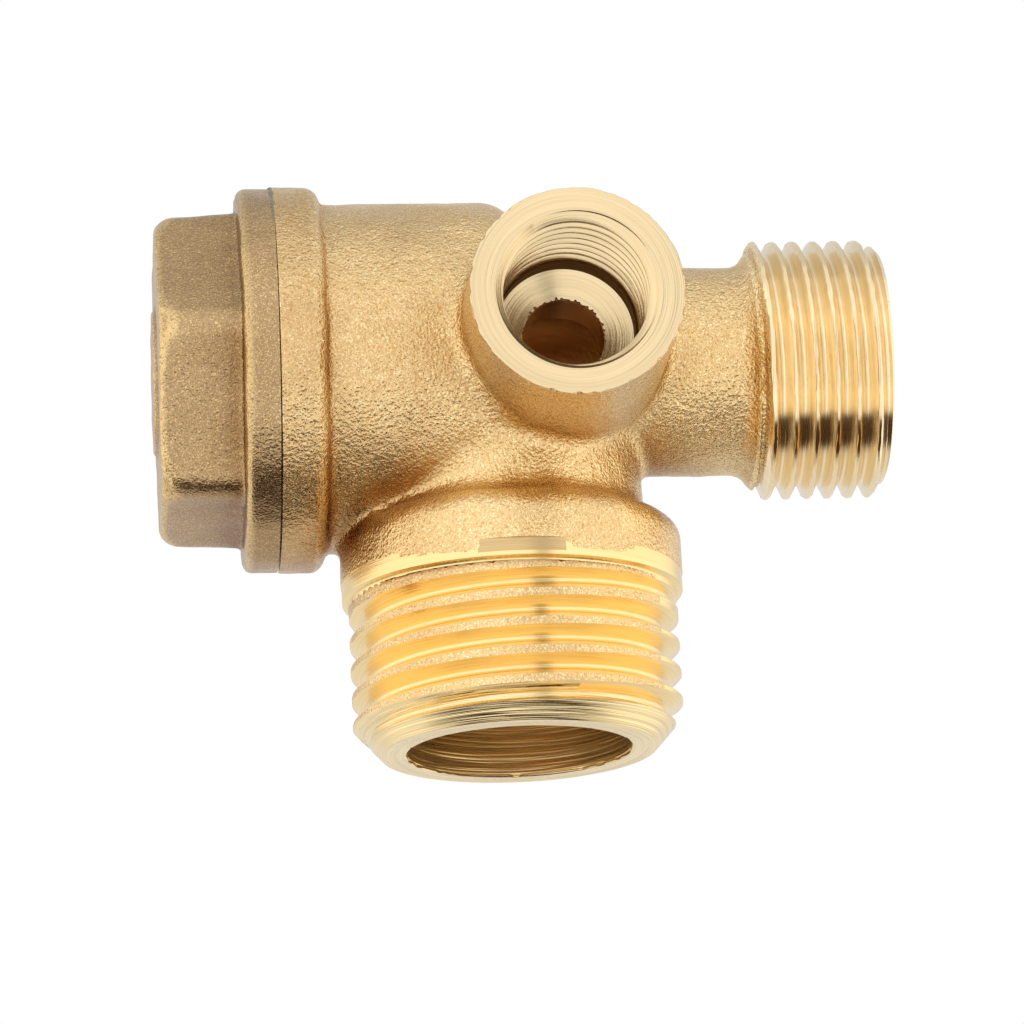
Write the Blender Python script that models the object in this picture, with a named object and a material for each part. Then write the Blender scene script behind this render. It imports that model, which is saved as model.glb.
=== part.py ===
"""Three-port check valve for a small air compressor.

A cast brass body is machined with three threaded ports. The large male port
points down to the tank, the small male port points along +X to the pump, and
the female boss points along -Y to the unloader line. A hexagonal cap closes
the -X end. It holds the spring and guides the poppet, whose rubber disc
presses on a seat inside the body, between the inlet side and the tank side.

Metres, +Z up. The working frame has the tank port's axis at x = 0, y = 0 and
the tank port's end face at z = 0. An empty shifts the whole valve so that the
world's origin is at the middle of the bounding box's underside.
"""

import math

import bmesh
import bpy
from mathutils import Vector

MM = 0.001

# Fits and gaps
RUNNING_GAP = 0.3 * MM
SEAM_GAP = 0.3 * MM
FACE_OVERLAP = 0.5 * MM
CUT_CLEARANCE = 1.0 * MM

# Tank port, a male parallel pipe thread
TANK_THREAD_RADIUS = 10.4775 * MM
TANK_THREAD_PITCH = 1.814 * MM
TANK_THREAD_LENGTH = 10.7 * MM
TANK_THREAD_CREST = 0.95 * MM
TANK_CHAMFER_DEPTH = 1.9 * MM
TANK_FACE_RADIUS = 8.75 * MM
TANK_BORE_RADIUS = 7.14 * MM
TANK_BORE_DEPTH = 14.4 * MM

# Cast collar and stem between the tank thread and the body
COLLAR_RADIUS = 10.95 * MM
COLLAR_HEIGHT = 4.0 * MM
COLLAR_ROUND = 1.6 * MM
STEM_RADIUS = 8.6 * MM
STEM_CYLINDER_TOP = 18.0 * MM
STEM_FILLET = 0.7 * MM

# Main barrel, which lies along X and holds the valve chamber
AXIS_HEIGHT = 24.8 * MM
BODY_FACE_DISTANCE = 14.7 * MM
FLANGE_RADIUS = 12.35 * MM
BODY_FLANGE_THICKNESS = 2.6 * MM
BODY_FLANGE_ROUND = 1.0 * MM
FLANGE_FILLET = 0.6 * MM
BARREL_RADIUS = 11.2 * MM
BARREL_END = 1.6 * MM
BARREL_END_ROUND = 3.2 * MM

# Inlet neck and its male parallel pipe thread, along +X
NECK_RADIUS = 6.72 * MM
NECK_FILLET = 1.0 * MM
INLET_END_DISTANCE = 24.3 * MM
INLET_THREAD_RADIUS = 8.331 * MM
INLET_THREAD_PITCH = 1.337 * MM
INLET_THREAD_LENGTH = 7.9 * MM
INLET_THREAD_CREST = 16.76 * MM
INLET_CONE_LENGTH = 1.2 * MM
INLET_CHAMFER = 0.7 * MM
INLET_BORE_RADIUS = 4.75 * MM
INLET_MOUTH_CHAMFER = 1.1 * MM
INLET_BORE_FLOOR = 0.2 * MM

# Unloader boss, along -Y
BOSS_OFFSET = 3.3 * MM
BOSS_REACH = 17.7 * MM
BOSS_RADIUS = 6.62 * MM
BOSS_ROOT_FLARE = 0.8 * MM
BOSS_ROOT_REACH = 7.6 * MM
BOSS_MOUTH_CHAMFER = 0.1 * MM
BOSS_THREAD_MINOR_RADIUS = 4.46 * MM
BOSS_THREAD_MAJOR_RADIUS = 5.0 * MM
BOSS_THREAD_DEPTH = 6.2 * MM
BOSS_RELIEF_LENGTH = 1.5 * MM
BOSS_DRILL_RADIUS = 4.3 * MM
BOSS_DRILL_DEPTH = 10.3 * MM
BOSS_HOLE_RADIUS = 2.75 * MM
DRILL_POINT_HALF_ANGLE = math.radians(59)

# Valve chamber, seat and tank passage
CHAMBER_RADIUS = 8.2 * MM
SEAT_WALL_DISTANCE = 2.0 * MM
SEAT_BORE_RADIUS = 3.8 * MM
SEAT_LIP_HEIGHT = 0.8 * MM
SEAT_LIP_WIDTH = 0.9 * MM
CAP_THREAD_RADIUS = 9.2 * MM
TANK_PASSAGE_RADIUS = 2.5 * MM
TANK_PASSAGE_OFFSET = 4.6 * MM
TANK_PASSAGE_RISE = 1.6 * MM

# Ring that seals the cap, in a counterbore of the body
SEAL_RING_SECTION_RADIUS = 0.6 * MM

# Hexagonal cap
CAP_FLANGE_THICKNESS = 1.95 * MM
CAP_FLANGE_ROUND = 0.6 * MM
CAP_SHOULDER_RADIUS = 11.0 * MM
HEX_ACROSS_FLATS = 19.3 * MM
HEX_DRAFT = math.radians(2.5)
HEX_HEIGHT = 5.25 * MM
HEX_CORNER_ROUND = 1.45 * MM
HEX_FACE_ROUND = 0.7 * MM
HEX_CROWN_RADIUS = 10.9 * MM
HEX_CROWN_ROUND = 2.5 * MM
HEX_TURN = math.radians(34.2)
CAP_PAD_RADIUS = 4.65 * MM
CAP_PAD_HEIGHT = 0.3 * MM
SPRING_POCKET_DISTANCE = 14.5 * MM
SPRING_POCKET_RADIUS = 5.2 * MM
GUIDE_END_WALL = 1.9 * MM
SPIGOT_CHAMFER = 0.4 * MM

# Poppet with its rubber disc, and the spring
POPPET_TRAVEL = 4.0 * MM
SEAL_DISC_RADIUS = 5.9 * MM
SEAL_DISC_THICKNESS = 2.0 * MM
SEAL_DISC_PROUD = 0.5 * MM
POPPET_RIM = 0.9 * MM
POPPET_HEAD_WEB = 1.3 * MM
POPPET_STEM_RADIUS = 2.6 * MM
POPPET_GUIDED_LENGTH = 1.5 * MM
SPRING_WIRE_RADIUS = 0.3 * MM
SPRING_TURNS = 5.0

# Facets
ROUND_SEGMENTS = 36
THREAD_SEGMENTS = 24
BORE_SEGMENTS = 24
SMALL_SEGMENTS = 16
RING_SECTION_SEGMENTS = 8
SPRING_SEGMENTS = 16
WIRE_SEGMENTS = 6
CORNER_STEPS = 2
ARC_SHARE = 0.48
SHARP_ANGLE = math.radians(35)
MERGE_DISTANCE = 0.0001 * MM

# Whitworth thread form
THREAD_HALF_ANGLE = math.radians(27.5)
THREAD_FLAT_SHARE = 1 / 6
THREAD_MOUTH_SHARE = 1 / 25
THREAD_RUN_OUT = math.radians(120)

# Directions as rotations of a piece that is turned about its own Z axis
ALONG_X = (0, math.pi / 2, 0)
ALONG_MINUS_X = (0, -math.pi / 2, 0)
ALONG_MINUS_Y = (math.pi / 2, 0, 0)
ALONG_Z = (0, 0, 0)

# Places along the main axis, in the working frame
BODY_FACE_X = -BODY_FACE_DISTANCE
CAP_FACE_X = BODY_FACE_X - SEAM_GAP
CAP_HEX_X = CAP_FACE_X - CAP_FLANGE_THICKNESS
CAP_FRONT_X = CAP_HEX_X - HEX_HEIGHT
SEAT_WALL_X = -SEAT_WALL_DISTANCE
SEAT_LIP_X = SEAT_WALL_X - SEAT_LIP_HEIGHT
DISC_FRONT_X = SEAT_LIP_X - RUNNING_GAP
DISC_BACK_X = DISC_FRONT_X - SEAL_DISC_THICKNESS
POPPET_RIM_X = DISC_FRONT_X - SEAL_DISC_PROUD
POPPET_RECESS_X = DISC_BACK_X - RUNNING_GAP
POPPET_BACK_X = POPPET_RECESS_X - POPPET_HEAD_WEB
SPIGOT_END_X = POPPET_BACK_X - POPPET_TRAVEL - RUNNING_GAP
SPRING_POCKET_X = -SPRING_POCKET_DISTANCE
POPPET_STEM_END_X = SPRING_POCKET_X - POPPET_GUIDED_LENGTH
GUIDE_END_X = CAP_FRONT_X + GUIDE_END_WALL
SPIGOT_RADIUS = CAP_THREAD_RADIUS - RUNNING_GAP
SEAL_RING_RADIUS = SPIGOT_RADIUS + RUNNING_GAP + SEAL_RING_SECTION_RADIUS
SEAL_RING_X = CAP_FACE_X + RUNNING_GAP + SEAL_RING_SECTION_RADIUS

# The bounding box, whose underside's middle becomes the origin
BOX_X = (CAP_FRONT_X - CAP_PAD_HEIGHT, INLET_END_DISTANCE)
BOX_Y = (-BOSS_REACH, FLANGE_RADIUS)
ORIGIN_SHIFT = Vector((-sum(BOX_X) / 2, -sum(BOX_Y) / 2, 0))


def clear_scene():
    for old in list(bpy.data.objects):
        bpy.data.objects.remove(old, do_unlink=True)


def make_material(name, color, metallic, roughness):
    material = bpy.data.materials.new(name)
    material.use_nodes = True
    shader = material.node_tree.nodes["Principled BSDF"]
    shader.inputs["Base Color"].default_value = (*color, 1)
    shader.inputs["Metallic"].default_value = metallic
    shader.inputs["Roughness"].default_value = roughness
    return material


def add_object(name, shape, frame, location, rotation, material=None):
    """Put a bmesh into the scene as a smooth-shaded object under the frame."""
    bmesh.ops.remove_doubles(shape, verts=shape.verts, dist=MERGE_DISTANCE)
    bmesh.ops.recalc_face_normals(shape, faces=shape.faces)
    mesh = bpy.data.meshes.new(name)
    shape.to_mesh(mesh)
    shape.free()
    mesh.shade_smooth()
    mesh.set_sharp_from_angle(angle=SHARP_ANGLE)
    if material:
        mesh.materials.append(material)
    piece = bpy.data.objects.new(name, mesh)
    piece.location = location
    piece.rotation_euler = rotation
    piece.parent = frame
    bpy.context.collection.objects.link(piece)
    return piece


def combine(target, tool, operation):
    """Join or cut the target with a hidden tool object."""
    tool.hide_render = True
    tool.display_type = "WIRE"
    boolean = target.modifiers.new(tool.name, "BOOLEAN")
    boolean.object = tool
    boolean.operation = operation
    boolean.solver = "EXACT"


def corner(radius, station, rounding=0.0):
    """One corner of a turned outline: radius, place on the axis, rounding."""
    return Vector((radius, station)), rounding


def rounded_outline(corners):
    """Replace each corner that has a rounding by a tangent arc of points."""
    points = []
    for index, (here, rounding) in enumerate(corners):
        if not rounding:
            points.append(here)
            continue
        before = corners[index - 1][0] - here
        after = corners[(index + 1) % len(corners)][0] - here
        half_angle = before.angle(after) / 2
        longest = ARC_SHARE * min(before.length, after.length)
        reach = min(rounding / math.tan(half_angle), longest)
        radius = reach * math.tan(half_angle)
        centre = here + (before.normalized() + after.normalized()).normalized() * (
            radius / math.sin(half_angle)
        )
        start = here + before.normalized() * reach - centre
        end = here + after.normalized() * reach - centre
        sweep = start.angle_signed(end)
        for step in range(CORNER_STEPS + 1):
            turn = -sweep * step / CORNER_STEPS
            points.append(
                centre
                + Vector((
                    start.x * math.cos(turn) - start.y * math.sin(turn),
                    start.x * math.sin(turn) + start.y * math.cos(turn),
                ))
            )
    return points


def turned(corners, segments, half_step=False):
    """Spin an outline of corners about Z into a closed solid.

    The outline is closed by its last edge, unless both of its ends lie on the
    axis. With half_step the facets start half a segment round.
    """
    shape = bmesh.new()
    turn = math.pi / segments if half_step else 0
    loop = [
        shape.verts.new((point.x * math.cos(turn), point.x * math.sin(turn), point.y))
        for point in rounded_outline(corners)
    ]
    edges = [shape.edges.new(pair) for pair in zip(loop, loop[1:])]
    if loop[0].co.xy.length > MERGE_DISTANCE or loop[-1].co.xy.length > MERGE_DISTANCE:
        edges.append(shape.edges.new((loop[-1], loop[0])))
    bmesh.ops.spin(
        shape, geom=loop + edges, cent=(0, 0, 0), axis=(0, 0, 1),
        angle=2 * math.pi, steps=segments, use_merge=True,
    )
    return shape


def rod(radius, start, end, segments, half_step=False):
    """A plain round bar along Z."""
    outline = [corner(0, start), corner(radius, start), corner(radius, end), corner(0, end)]
    return turned(outline, segments, half_step)


def thread_groove(crest_radius, pitch, crest_station, start, end, segments, fading_end):
    """Helical groove that cuts a right-hand thread into a bar along Z.

    The section is a Whitworth V with a flat root. The crest passes angle zero
    at the crest station, and the groove lies half a pitch further on. Its middle
    runs from start to end. At the fading end, "first" or "last", it rises out of
    the bar over the run-out angle.
    """
    depth = (1 - 2 * THREAD_FLAT_SHARE) * pitch / (2 * math.tan(THREAD_HALF_ANGLE))
    rise = crest_radius * (1 / math.cos(math.pi / segments) - 1) + THREAD_MOUTH_SHARE * pitch
    root_half = THREAD_FLAT_SHARE * pitch / 2
    mouth_half = root_half + (depth + rise) * math.tan(THREAD_HALF_ANGLE)
    groove_station = crest_station + pitch / 2
    first = math.floor((start - groove_station) / pitch * segments)
    last = math.ceil((end - groove_station) / pitch * segments)
    shape = bmesh.new()
    previous = None
    for step in range(first, last + 1):
        angle = 2 * math.pi * step / segments
        station = groove_station + pitch * step / segments
        steps_left = last - step if fading_end == "last" else step - first
        fade = max(0.0, 1 - steps_left * 2 * math.pi / segments / THREAD_RUN_OUT)
        lift = fade * (depth + rise)
        root = crest_radius - depth + lift
        mouth = crest_radius + rise + lift
        section = [
            shape.verts.new((radius * math.cos(angle), radius * math.sin(angle), station + side))
            for radius, side in (
                (root, -root_half), (root, root_half), (mouth, mouth_half), (mouth, -mouth_half),
            )
        ]
        if previous:
            for side in range(4):
                following = (side + 1) % 4
                shape.faces.new((
                    previous[side], previous[following], section[following], section[side],
                ))
        else:
            shape.faces.new(section)
        previous = section
    shape.faces.new(list(reversed(previous)))
    bmesh.ops.triangulate(shape, faces=shape.faces)
    return shape


def cast_blank(frame, brass):
    """The body as it leaves the mould: barrel, neck, stem, collar and boss."""
    main = (0, 0, AXIS_HEIGHT)
    flange_back = BODY_FACE_X + BODY_FLANGE_THICKNESS
    barrel = turned([
        corner(0, BODY_FACE_X),
        corner(FLANGE_RADIUS, BODY_FACE_X),
        corner(FLANGE_RADIUS, flange_back, BODY_FLANGE_ROUND),
        corner(BARREL_RADIUS, flange_back + FLANGE_RADIUS - BARREL_RADIUS, FLANGE_FILLET),
        corner(BARREL_RADIUS, BARREL_END, BARREL_END_ROUND),
        corner(0, BARREL_END),
    ], ROUND_SEGMENTS)
    body = add_object("valve_body", barrel, frame, main, ALONG_X, brass)

    thread_start = INLET_END_DISTANCE - INLET_THREAD_LENGTH
    cone_start = thread_start - INLET_CONE_LENGTH
    neck = turned([
        corner(0, SEAT_WALL_X),
        corner(NECK_RADIUS, SEAT_WALL_X),
        corner(NECK_RADIUS, cone_start, NECK_FILLET),
        corner(INLET_THREAD_RADIUS, thread_start, INLET_CHAMFER),
        corner(INLET_THREAD_RADIUS, INLET_END_DISTANCE - INLET_CHAMFER),
        corner(INLET_THREAD_RADIUS - INLET_CHAMFER, INLET_END_DISTANCE),
        corner(0, INLET_END_DISTANCE),
    ], THREAD_SEGMENTS, half_step=True)
    combine(body, add_object("neck_blank", neck, frame, main, ALONG_X), "UNION")

    collar_top = TANK_THREAD_LENGTH + COLLAR_HEIGHT
    stem = turned([
        corner(0, 0),
        corner(TANK_FACE_RADIUS, 0),
        corner(TANK_THREAD_RADIUS, TANK_CHAMFER_DEPTH),
        corner(TANK_THREAD_RADIUS, TANK_THREAD_LENGTH),
        corner(COLLAR_RADIUS, TANK_THREAD_LENGTH + COLLAR_RADIUS - TANK_THREAD_RADIUS),
        corner(COLLAR_RADIUS, collar_top, COLLAR_ROUND),
        corner(STEM_RADIUS, collar_top + STEM_FILLET, STEM_FILLET),
        corner(STEM_RADIUS, STEM_CYLINDER_TOP + STEM_RADIUS, STEM_RADIUS),
        corner(0, STEM_CYLINDER_TOP + STEM_RADIUS),
    ], THREAD_SEGMENTS, half_step=True)
    combine(body, add_object("stem_blank", stem, frame, (0, 0, 0), ALONG_Z), "UNION")

    boss = turned([
        corner(0, 0),
        corner(BOSS_RADIUS + BOSS_ROOT_FLARE, 0),
        corner(BOSS_RADIUS + BOSS_ROOT_FLARE, NECK_RADIUS - BOSS_ROOT_FLARE),
        corner(BOSS_RADIUS, BOSS_ROOT_REACH, BOSS_ROOT_FLARE),
        corner(BOSS_RADIUS, BOSS_REACH),
        corner(0, BOSS_REACH),
    ], ROUND_SEGMENTS)
    combine(body, add_object("boss_blank", boss, frame, (BOSS_OFFSET, 0, AXIS_HEIGHT), ALONG_MINUS_Y), "UNION")
    return body


def machine_chamber(body, frame):
    """Chamber with its cap thread and ring counterbore, the seat and the inlet bore."""
    main = (0, 0, AXIS_HEIGHT)
    mouth = BODY_FACE_X - CUT_CLEARANCE
    counterbore_radius = SEAL_RING_RADIUS + SEAL_RING_SECTION_RADIUS + RUNNING_GAP
    counterbore_end = SEAL_RING_X + SEAL_RING_SECTION_RADIUS + RUNNING_GAP
    thread_end = SPIGOT_END_X + RUNNING_GAP
    lip_radius = SEAT_BORE_RADIUS + SEAT_LIP_WIDTH
    chamber = turned([
        corner(0, mouth),
        corner(counterbore_radius, mouth),
        corner(counterbore_radius, counterbore_end),
        corner(CAP_THREAD_RADIUS, counterbore_end),
        corner(CAP_THREAD_RADIUS, thread_end),
        corner(CHAMBER_RADIUS, thread_end + CAP_THREAD_RADIUS - CHAMBER_RADIUS),
        corner(CHAMBER_RADIUS, SEAT_WALL_X),
        corner(lip_radius, SEAT_WALL_X),
        corner(lip_radius, SEAT_LIP_X),
        corner(0, SEAT_LIP_X),
    ], BORE_SEGMENTS)
    combine(body, add_object("chamber_cutter", chamber, frame, main, ALONG_X), "DIFFERENCE")

    far_mouth = INLET_END_DISTANCE + CUT_CLEARANCE
    inlet = turned([
        corner(0, SEAT_LIP_X - CUT_CLEARANCE),
        corner(SEAT_BORE_RADIUS, SEAT_LIP_X - CUT_CLEARANCE),
        corner(SEAT_BORE_RADIUS, INLET_BORE_FLOOR),
        corner(INLET_BORE_RADIUS, INLET_BORE_FLOOR + INLET_BORE_RADIUS - SEAT_BORE_RADIUS),
        corner(INLET_BORE_RADIUS, INLET_END_DISTANCE - INLET_MOUTH_CHAMFER),
        corner(INLET_BORE_RADIUS + INLET_MOUTH_CHAMFER + CUT_CLEARANCE, far_mouth),
        corner(0, far_mouth),
    ], BORE_SEGMENTS, half_step=True)
    combine(body, add_object("inlet_cutter", inlet, frame, main, ALONG_X), "DIFFERENCE")


def machine_tank_port(body, frame):
    """Blind tank bore, and the passage from its floor up to the chamber."""
    bore = rod(TANK_BORE_RADIUS, -CUT_CLEARANCE, TANK_BORE_DEPTH, BORE_SEGMENTS)
    combine(body, add_object("tank_bore_cutter", bore, frame, (0, 0, 0), ALONG_Z), "DIFFERENCE")

    passage_top = AXIS_HEIGHT - CHAMBER_RADIUS + TANK_PASSAGE_RISE
    passage = rod(
        TANK_PASSAGE_RADIUS, TANK_BORE_DEPTH - CUT_CLEARANCE, passage_top, SMALL_SEGMENTS, True,
    )
    place = (-TANK_PASSAGE_OFFSET, 0, 0)
    combine(body, add_object("tank_passage_cutter", passage, frame, place, ALONG_Z), "DIFFERENCE")


def machine_boss(body, frame):
    """Tapped hole of the unloader boss, its relief, drill point and air hole."""
    relief_start = BOSS_REACH - BOSS_THREAD_DEPTH
    relief_end = relief_start - BOSS_RELIEF_LENGTH
    hole_rim = BOSS_REACH - BOSS_DRILL_DEPTH
    point_top = hole_rim + (BOSS_DRILL_RADIUS - BOSS_HOLE_RADIUS) / math.tan(DRILL_POINT_HALF_ANGLE)
    mouth = BOSS_REACH + CUT_CLEARANCE
    bore = turned([
        corner(0, hole_rim - CUT_CLEARANCE),
        corner(BOSS_HOLE_RADIUS, hole_rim - CUT_CLEARANCE),
        corner(BOSS_HOLE_RADIUS, hole_rim),
        corner(BOSS_DRILL_RADIUS, point_top),
        corner(BOSS_DRILL_RADIUS, relief_end),
        corner(BOSS_THREAD_MAJOR_RADIUS, relief_end),
        corner(BOSS_THREAD_MAJOR_RADIUS, relief_start),
        corner(BOSS_THREAD_MINOR_RADIUS, relief_start),
        corner(BOSS_THREAD_MINOR_RADIUS, BOSS_REACH - BOSS_THREAD_MAJOR_RADIUS
               + BOSS_THREAD_MINOR_RADIUS - BOSS_MOUTH_CHAMFER),
        corner(BOSS_THREAD_MAJOR_RADIUS + BOSS_MOUTH_CHAMFER, BOSS_REACH),
        corner(BOSS_THREAD_MAJOR_RADIUS + BOSS_MOUTH_CHAMFER, mouth),
        corner(0, mouth),
    ], BORE_SEGMENTS)
    place = (BOSS_OFFSET, 0, AXIS_HEIGHT)
    combine(body, add_object("boss_cutter", bore, frame, place, ALONG_MINUS_Y), "DIFFERENCE")

    air_hole = rod(BOSS_HOLE_RADIUS, 0, hole_rim - CUT_CLEARANCE / 2, BORE_SEGMENTS)
    combine(body, add_object("air_hole_cutter", air_hole, frame, place, ALONG_MINUS_Y), "DIFFERENCE")


def cut_threads(body, frame):
    """Grooves of the two male threads, which run off the ports' end faces."""
    tank_groove = thread_groove(
        TANK_THREAD_RADIUS, TANK_THREAD_PITCH, TANK_THREAD_CREST,
        -TANK_THREAD_PITCH, TANK_THREAD_LENGTH - TANK_THREAD_PITCH / 2, THREAD_SEGMENTS, "last",
    )
    combine(body, add_object("tank_thread_cutter", tank_groove, frame, (0, 0, 0), ALONG_Z), "DIFFERENCE")

    thread_start = INLET_END_DISTANCE - INLET_THREAD_LENGTH
    inlet_groove = thread_groove(
        INLET_THREAD_RADIUS, INLET_THREAD_PITCH, INLET_THREAD_CREST,
        thread_start - INLET_THREAD_PITCH / 4, INLET_END_DISTANCE + INLET_THREAD_PITCH,
        THREAD_SEGMENTS, "first",
    )
    place = (0, 0, AXIS_HEIGHT)
    combine(body, add_object("inlet_thread_cutter", inlet_groove, frame, place, ALONG_X), "DIFFERENCE")


def build_body(frame, brass):
    body = cast_blank(frame, brass)
    machine_chamber(body, frame)
    machine_tank_port(body, frame)
    machine_boss(body, frame)
    cut_threads(body, frame)
    return body


def hex_prism():
    """Hexagon with draft, rounded upright corners and a rounded front edge."""
    shape = bmesh.new()
    rings = []
    for station in (-FACE_OVERLAP, HEX_HEIGHT):
        flat_distance = HEX_ACROSS_FLATS / 2 - station * math.tan(HEX_DRAFT)
        radius = flat_distance / math.cos(math.pi / 6)
        angles = [HEX_TURN + index * math.pi / 3 for index in range(6)]
        rings.append([
            shape.verts.new((radius * math.cos(angle), radius * math.sin(angle), station))
            for angle in angles
        ])
    base, front = rings
    shape.faces.new(list(reversed(base)))
    shape.faces.new(front)
    uprights = []
    for index in range(6):
        following = (index + 1) % 6
        shape.faces.new((base[index], base[following], front[following], front[index]))
        uprights.append(shape.edges.get((base[index], front[index])))
    bmesh.ops.bevel(
        shape, geom=uprights, offset=HEX_CORNER_ROUND, segments=CORNER_STEPS, profile=0.5,
        affect="EDGES",
    )
    front_edges = [
        edge for edge in shape.edges
        if all(abs(vert.co.z - HEX_HEIGHT) < MERGE_DISTANCE for vert in edge.verts)
    ]
    bmesh.ops.bevel(
        shape, geom=front_edges, offset=HEX_FACE_ROUND, segments=CORNER_STEPS, profile=0.5,
        affect="EDGES",
    )
    return shape


def build_cap(frame, bronze):
    """Hexagonal head, flange and threaded spigot, with the spring pocket and guide."""
    main = (0, 0, AXIS_HEIGHT)
    flange = turned([
        corner(0, SPIGOT_END_X),
        corner(SPIGOT_RADIUS - SPIGOT_CHAMFER, SPIGOT_END_X),
        corner(SPIGOT_RADIUS, SPIGOT_END_X - SPIGOT_CHAMFER),
        corner(SPIGOT_RADIUS, CAP_FACE_X),
        corner(FLANGE_RADIUS, CAP_FACE_X),
        corner(FLANGE_RADIUS, CAP_HEX_X, CAP_FLANGE_ROUND),
        corner(CAP_SHOULDER_RADIUS, CAP_HEX_X),
        corner(0, CAP_HEX_X),
    ], ROUND_SEGMENTS)
    cap = add_object("hex_cap", flange, frame, main, ALONG_X, bronze)

    head_place = (CAP_HEX_X, 0, AXIS_HEIGHT)
    head = add_object("hex_blank", hex_prism(), frame, head_place, ALONG_MINUS_X)
    crown = turned([
        corner(0, -CUT_CLEARANCE),
        corner(CAP_SHOULDER_RADIUS + CUT_CLEARANCE, -CUT_CLEARANCE),
        corner(CAP_SHOULDER_RADIUS + CUT_CLEARANCE, 0),
        corner(HEX_CROWN_RADIUS, 0),
        corner(HEX_CROWN_RADIUS, HEX_HEIGHT, HEX_CROWN_ROUND),
        corner(0, HEX_HEIGHT),
    ], ROUND_SEGMENTS)
    combine(head, add_object("crown_tool", crown, frame, head_place, ALONG_MINUS_X), "INTERSECT")
    combine(cap, head, "UNION")

    pad = turned([
        corner(0, HEX_HEIGHT - FACE_OVERLAP),
        corner(CAP_PAD_RADIUS, HEX_HEIGHT - FACE_OVERLAP),
        corner(CAP_PAD_RADIUS, HEX_HEIGHT + CAP_PAD_HEIGHT, CAP_PAD_HEIGHT / 2),
        corner(0, HEX_HEIGHT + CAP_PAD_HEIGHT),
    ], BORE_SEGMENTS)
    combine(cap, add_object("pad_blank", pad, frame, head_place, ALONG_MINUS_X), "UNION")

    guide_radius = POPPET_STEM_RADIUS + RUNNING_GAP
    pocket_mouth = SPIGOT_END_X + CUT_CLEARANCE
    pocket = turned([
        corner(0, GUIDE_END_X),
        corner(guide_radius, GUIDE_END_X),
        corner(guide_radius, SPRING_POCKET_X),
        corner(SPRING_POCKET_RADIUS, SPRING_POCKET_X),
        corner(SPRING_POCKET_RADIUS, pocket_mouth),
        corner(0, pocket_mouth),
    ], BORE_SEGMENTS)
    combine(cap, add_object("pocket_cutter", pocket, frame, main, ALONG_X), "DIFFERENCE")
    return cap


def build_seal_ring(frame, rubber):
    """Round-section ring around the spigot, squeezed between cap and body."""
    shape = bmesh.new()
    section = []
    for step in range(RING_SECTION_SEGMENTS):
        angle = 2 * math.pi * step / RING_SECTION_SEGMENTS
        radius = SEAL_RING_RADIUS + SEAL_RING_SECTION_RADIUS * math.cos(angle)
        section.append(shape.verts.new((radius, 0, SEAL_RING_SECTION_RADIUS * math.sin(angle))))
    edges = [shape.edges.new(pair) for pair in zip(section, section[1:] + section[:1])]
    bmesh.ops.spin(
        shape, geom=section + edges, cent=(0, 0, 0), axis=(0, 0, 1),
        angle=2 * math.pi, steps=BORE_SEGMENTS, use_merge=True,
    )
    return add_object("cap_seal_ring", shape, frame, (SEAL_RING_X, 0, AXIS_HEIGHT), ALONG_X, rubber)


def build_poppet(frame, brass):
    """Cup that holds the rubber disc, with a stem that slides in the cap."""
    recess_radius = SEAL_DISC_RADIUS + RUNNING_GAP
    head_radius = recess_radius + POPPET_RIM
    shape = turned([
        corner(0, POPPET_RECESS_X - SEAT_LIP_X),
        corner(recess_radius, POPPET_RECESS_X - SEAT_LIP_X),
        corner(recess_radius, POPPET_RIM_X - SEAT_LIP_X),
        corner(head_radius, POPPET_RIM_X - SEAT_LIP_X, POPPET_RIM / 3),
        corner(head_radius, POPPET_BACK_X - SEAT_LIP_X, POPPET_RIM / 3),
        corner(POPPET_STEM_RADIUS, POPPET_BACK_X - SEAT_LIP_X),
        corner(POPPET_STEM_RADIUS, POPPET_STEM_END_X - SEAT_LIP_X, POPPET_RIM / 2),
        corner(0, POPPET_STEM_END_X - SEAT_LIP_X),
    ], BORE_SEGMENTS)
    return add_object("poppet", shape, frame, (SEAT_LIP_X, 0, AXIS_HEIGHT), ALONG_X, brass)


def build_seal_disc(frame, rubber):
    shape = rod(SEAL_DISC_RADIUS, DISC_BACK_X - SEAT_LIP_X, DISC_FRONT_X - SEAT_LIP_X, BORE_SEGMENTS)
    return add_object("seal_disc", shape, frame, (SEAT_LIP_X, 0, AXIS_HEIGHT), ALONG_X, rubber)


def build_spring(frame, steel):
    """Helical wire between the poppet's head and the pocket's floor."""
    start = SPRING_POCKET_X + RUNNING_GAP + SPRING_WIRE_RADIUS
    end = POPPET_BACK_X - RUNNING_GAP - SPRING_WIRE_RADIUS
    coil_radius = SPRING_POCKET_RADIUS - RUNNING_GAP - SPRING_WIRE_RADIUS
    shape = bmesh.new()
    steps = round(SPRING_TURNS * SPRING_SEGMENTS)
    previous = None
    for step in range(steps + 1):
        angle = 2 * math.pi * step / SPRING_SEGMENTS
        outward = Vector((math.cos(angle), math.sin(angle), 0))
        centre = outward * coil_radius + Vector((0, 0, (end - start) * step / steps))
        section = []
        for side in range(WIRE_SEGMENTS):
            turn = 2 * math.pi * side / WIRE_SEGMENTS
            offset = outward * math.cos(turn) + Vector((0, 0, math.sin(turn)))
            section.append(shape.verts.new(centre + offset * SPRING_WIRE_RADIUS))
        if previous:
            for side in range(WIRE_SEGMENTS):
                following = (side + 1) % WIRE_SEGMENTS
                shape.faces.new((
                    previous[side], previous[following], section[following], section[side],
                ))
        else:
            shape.faces.new(section)
        previous = section
    shape.faces.new(list(reversed(previous)))
    return add_object("return_spring", shape, frame, (start, 0, AXIS_HEIGHT), ALONG_X, steel)


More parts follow.
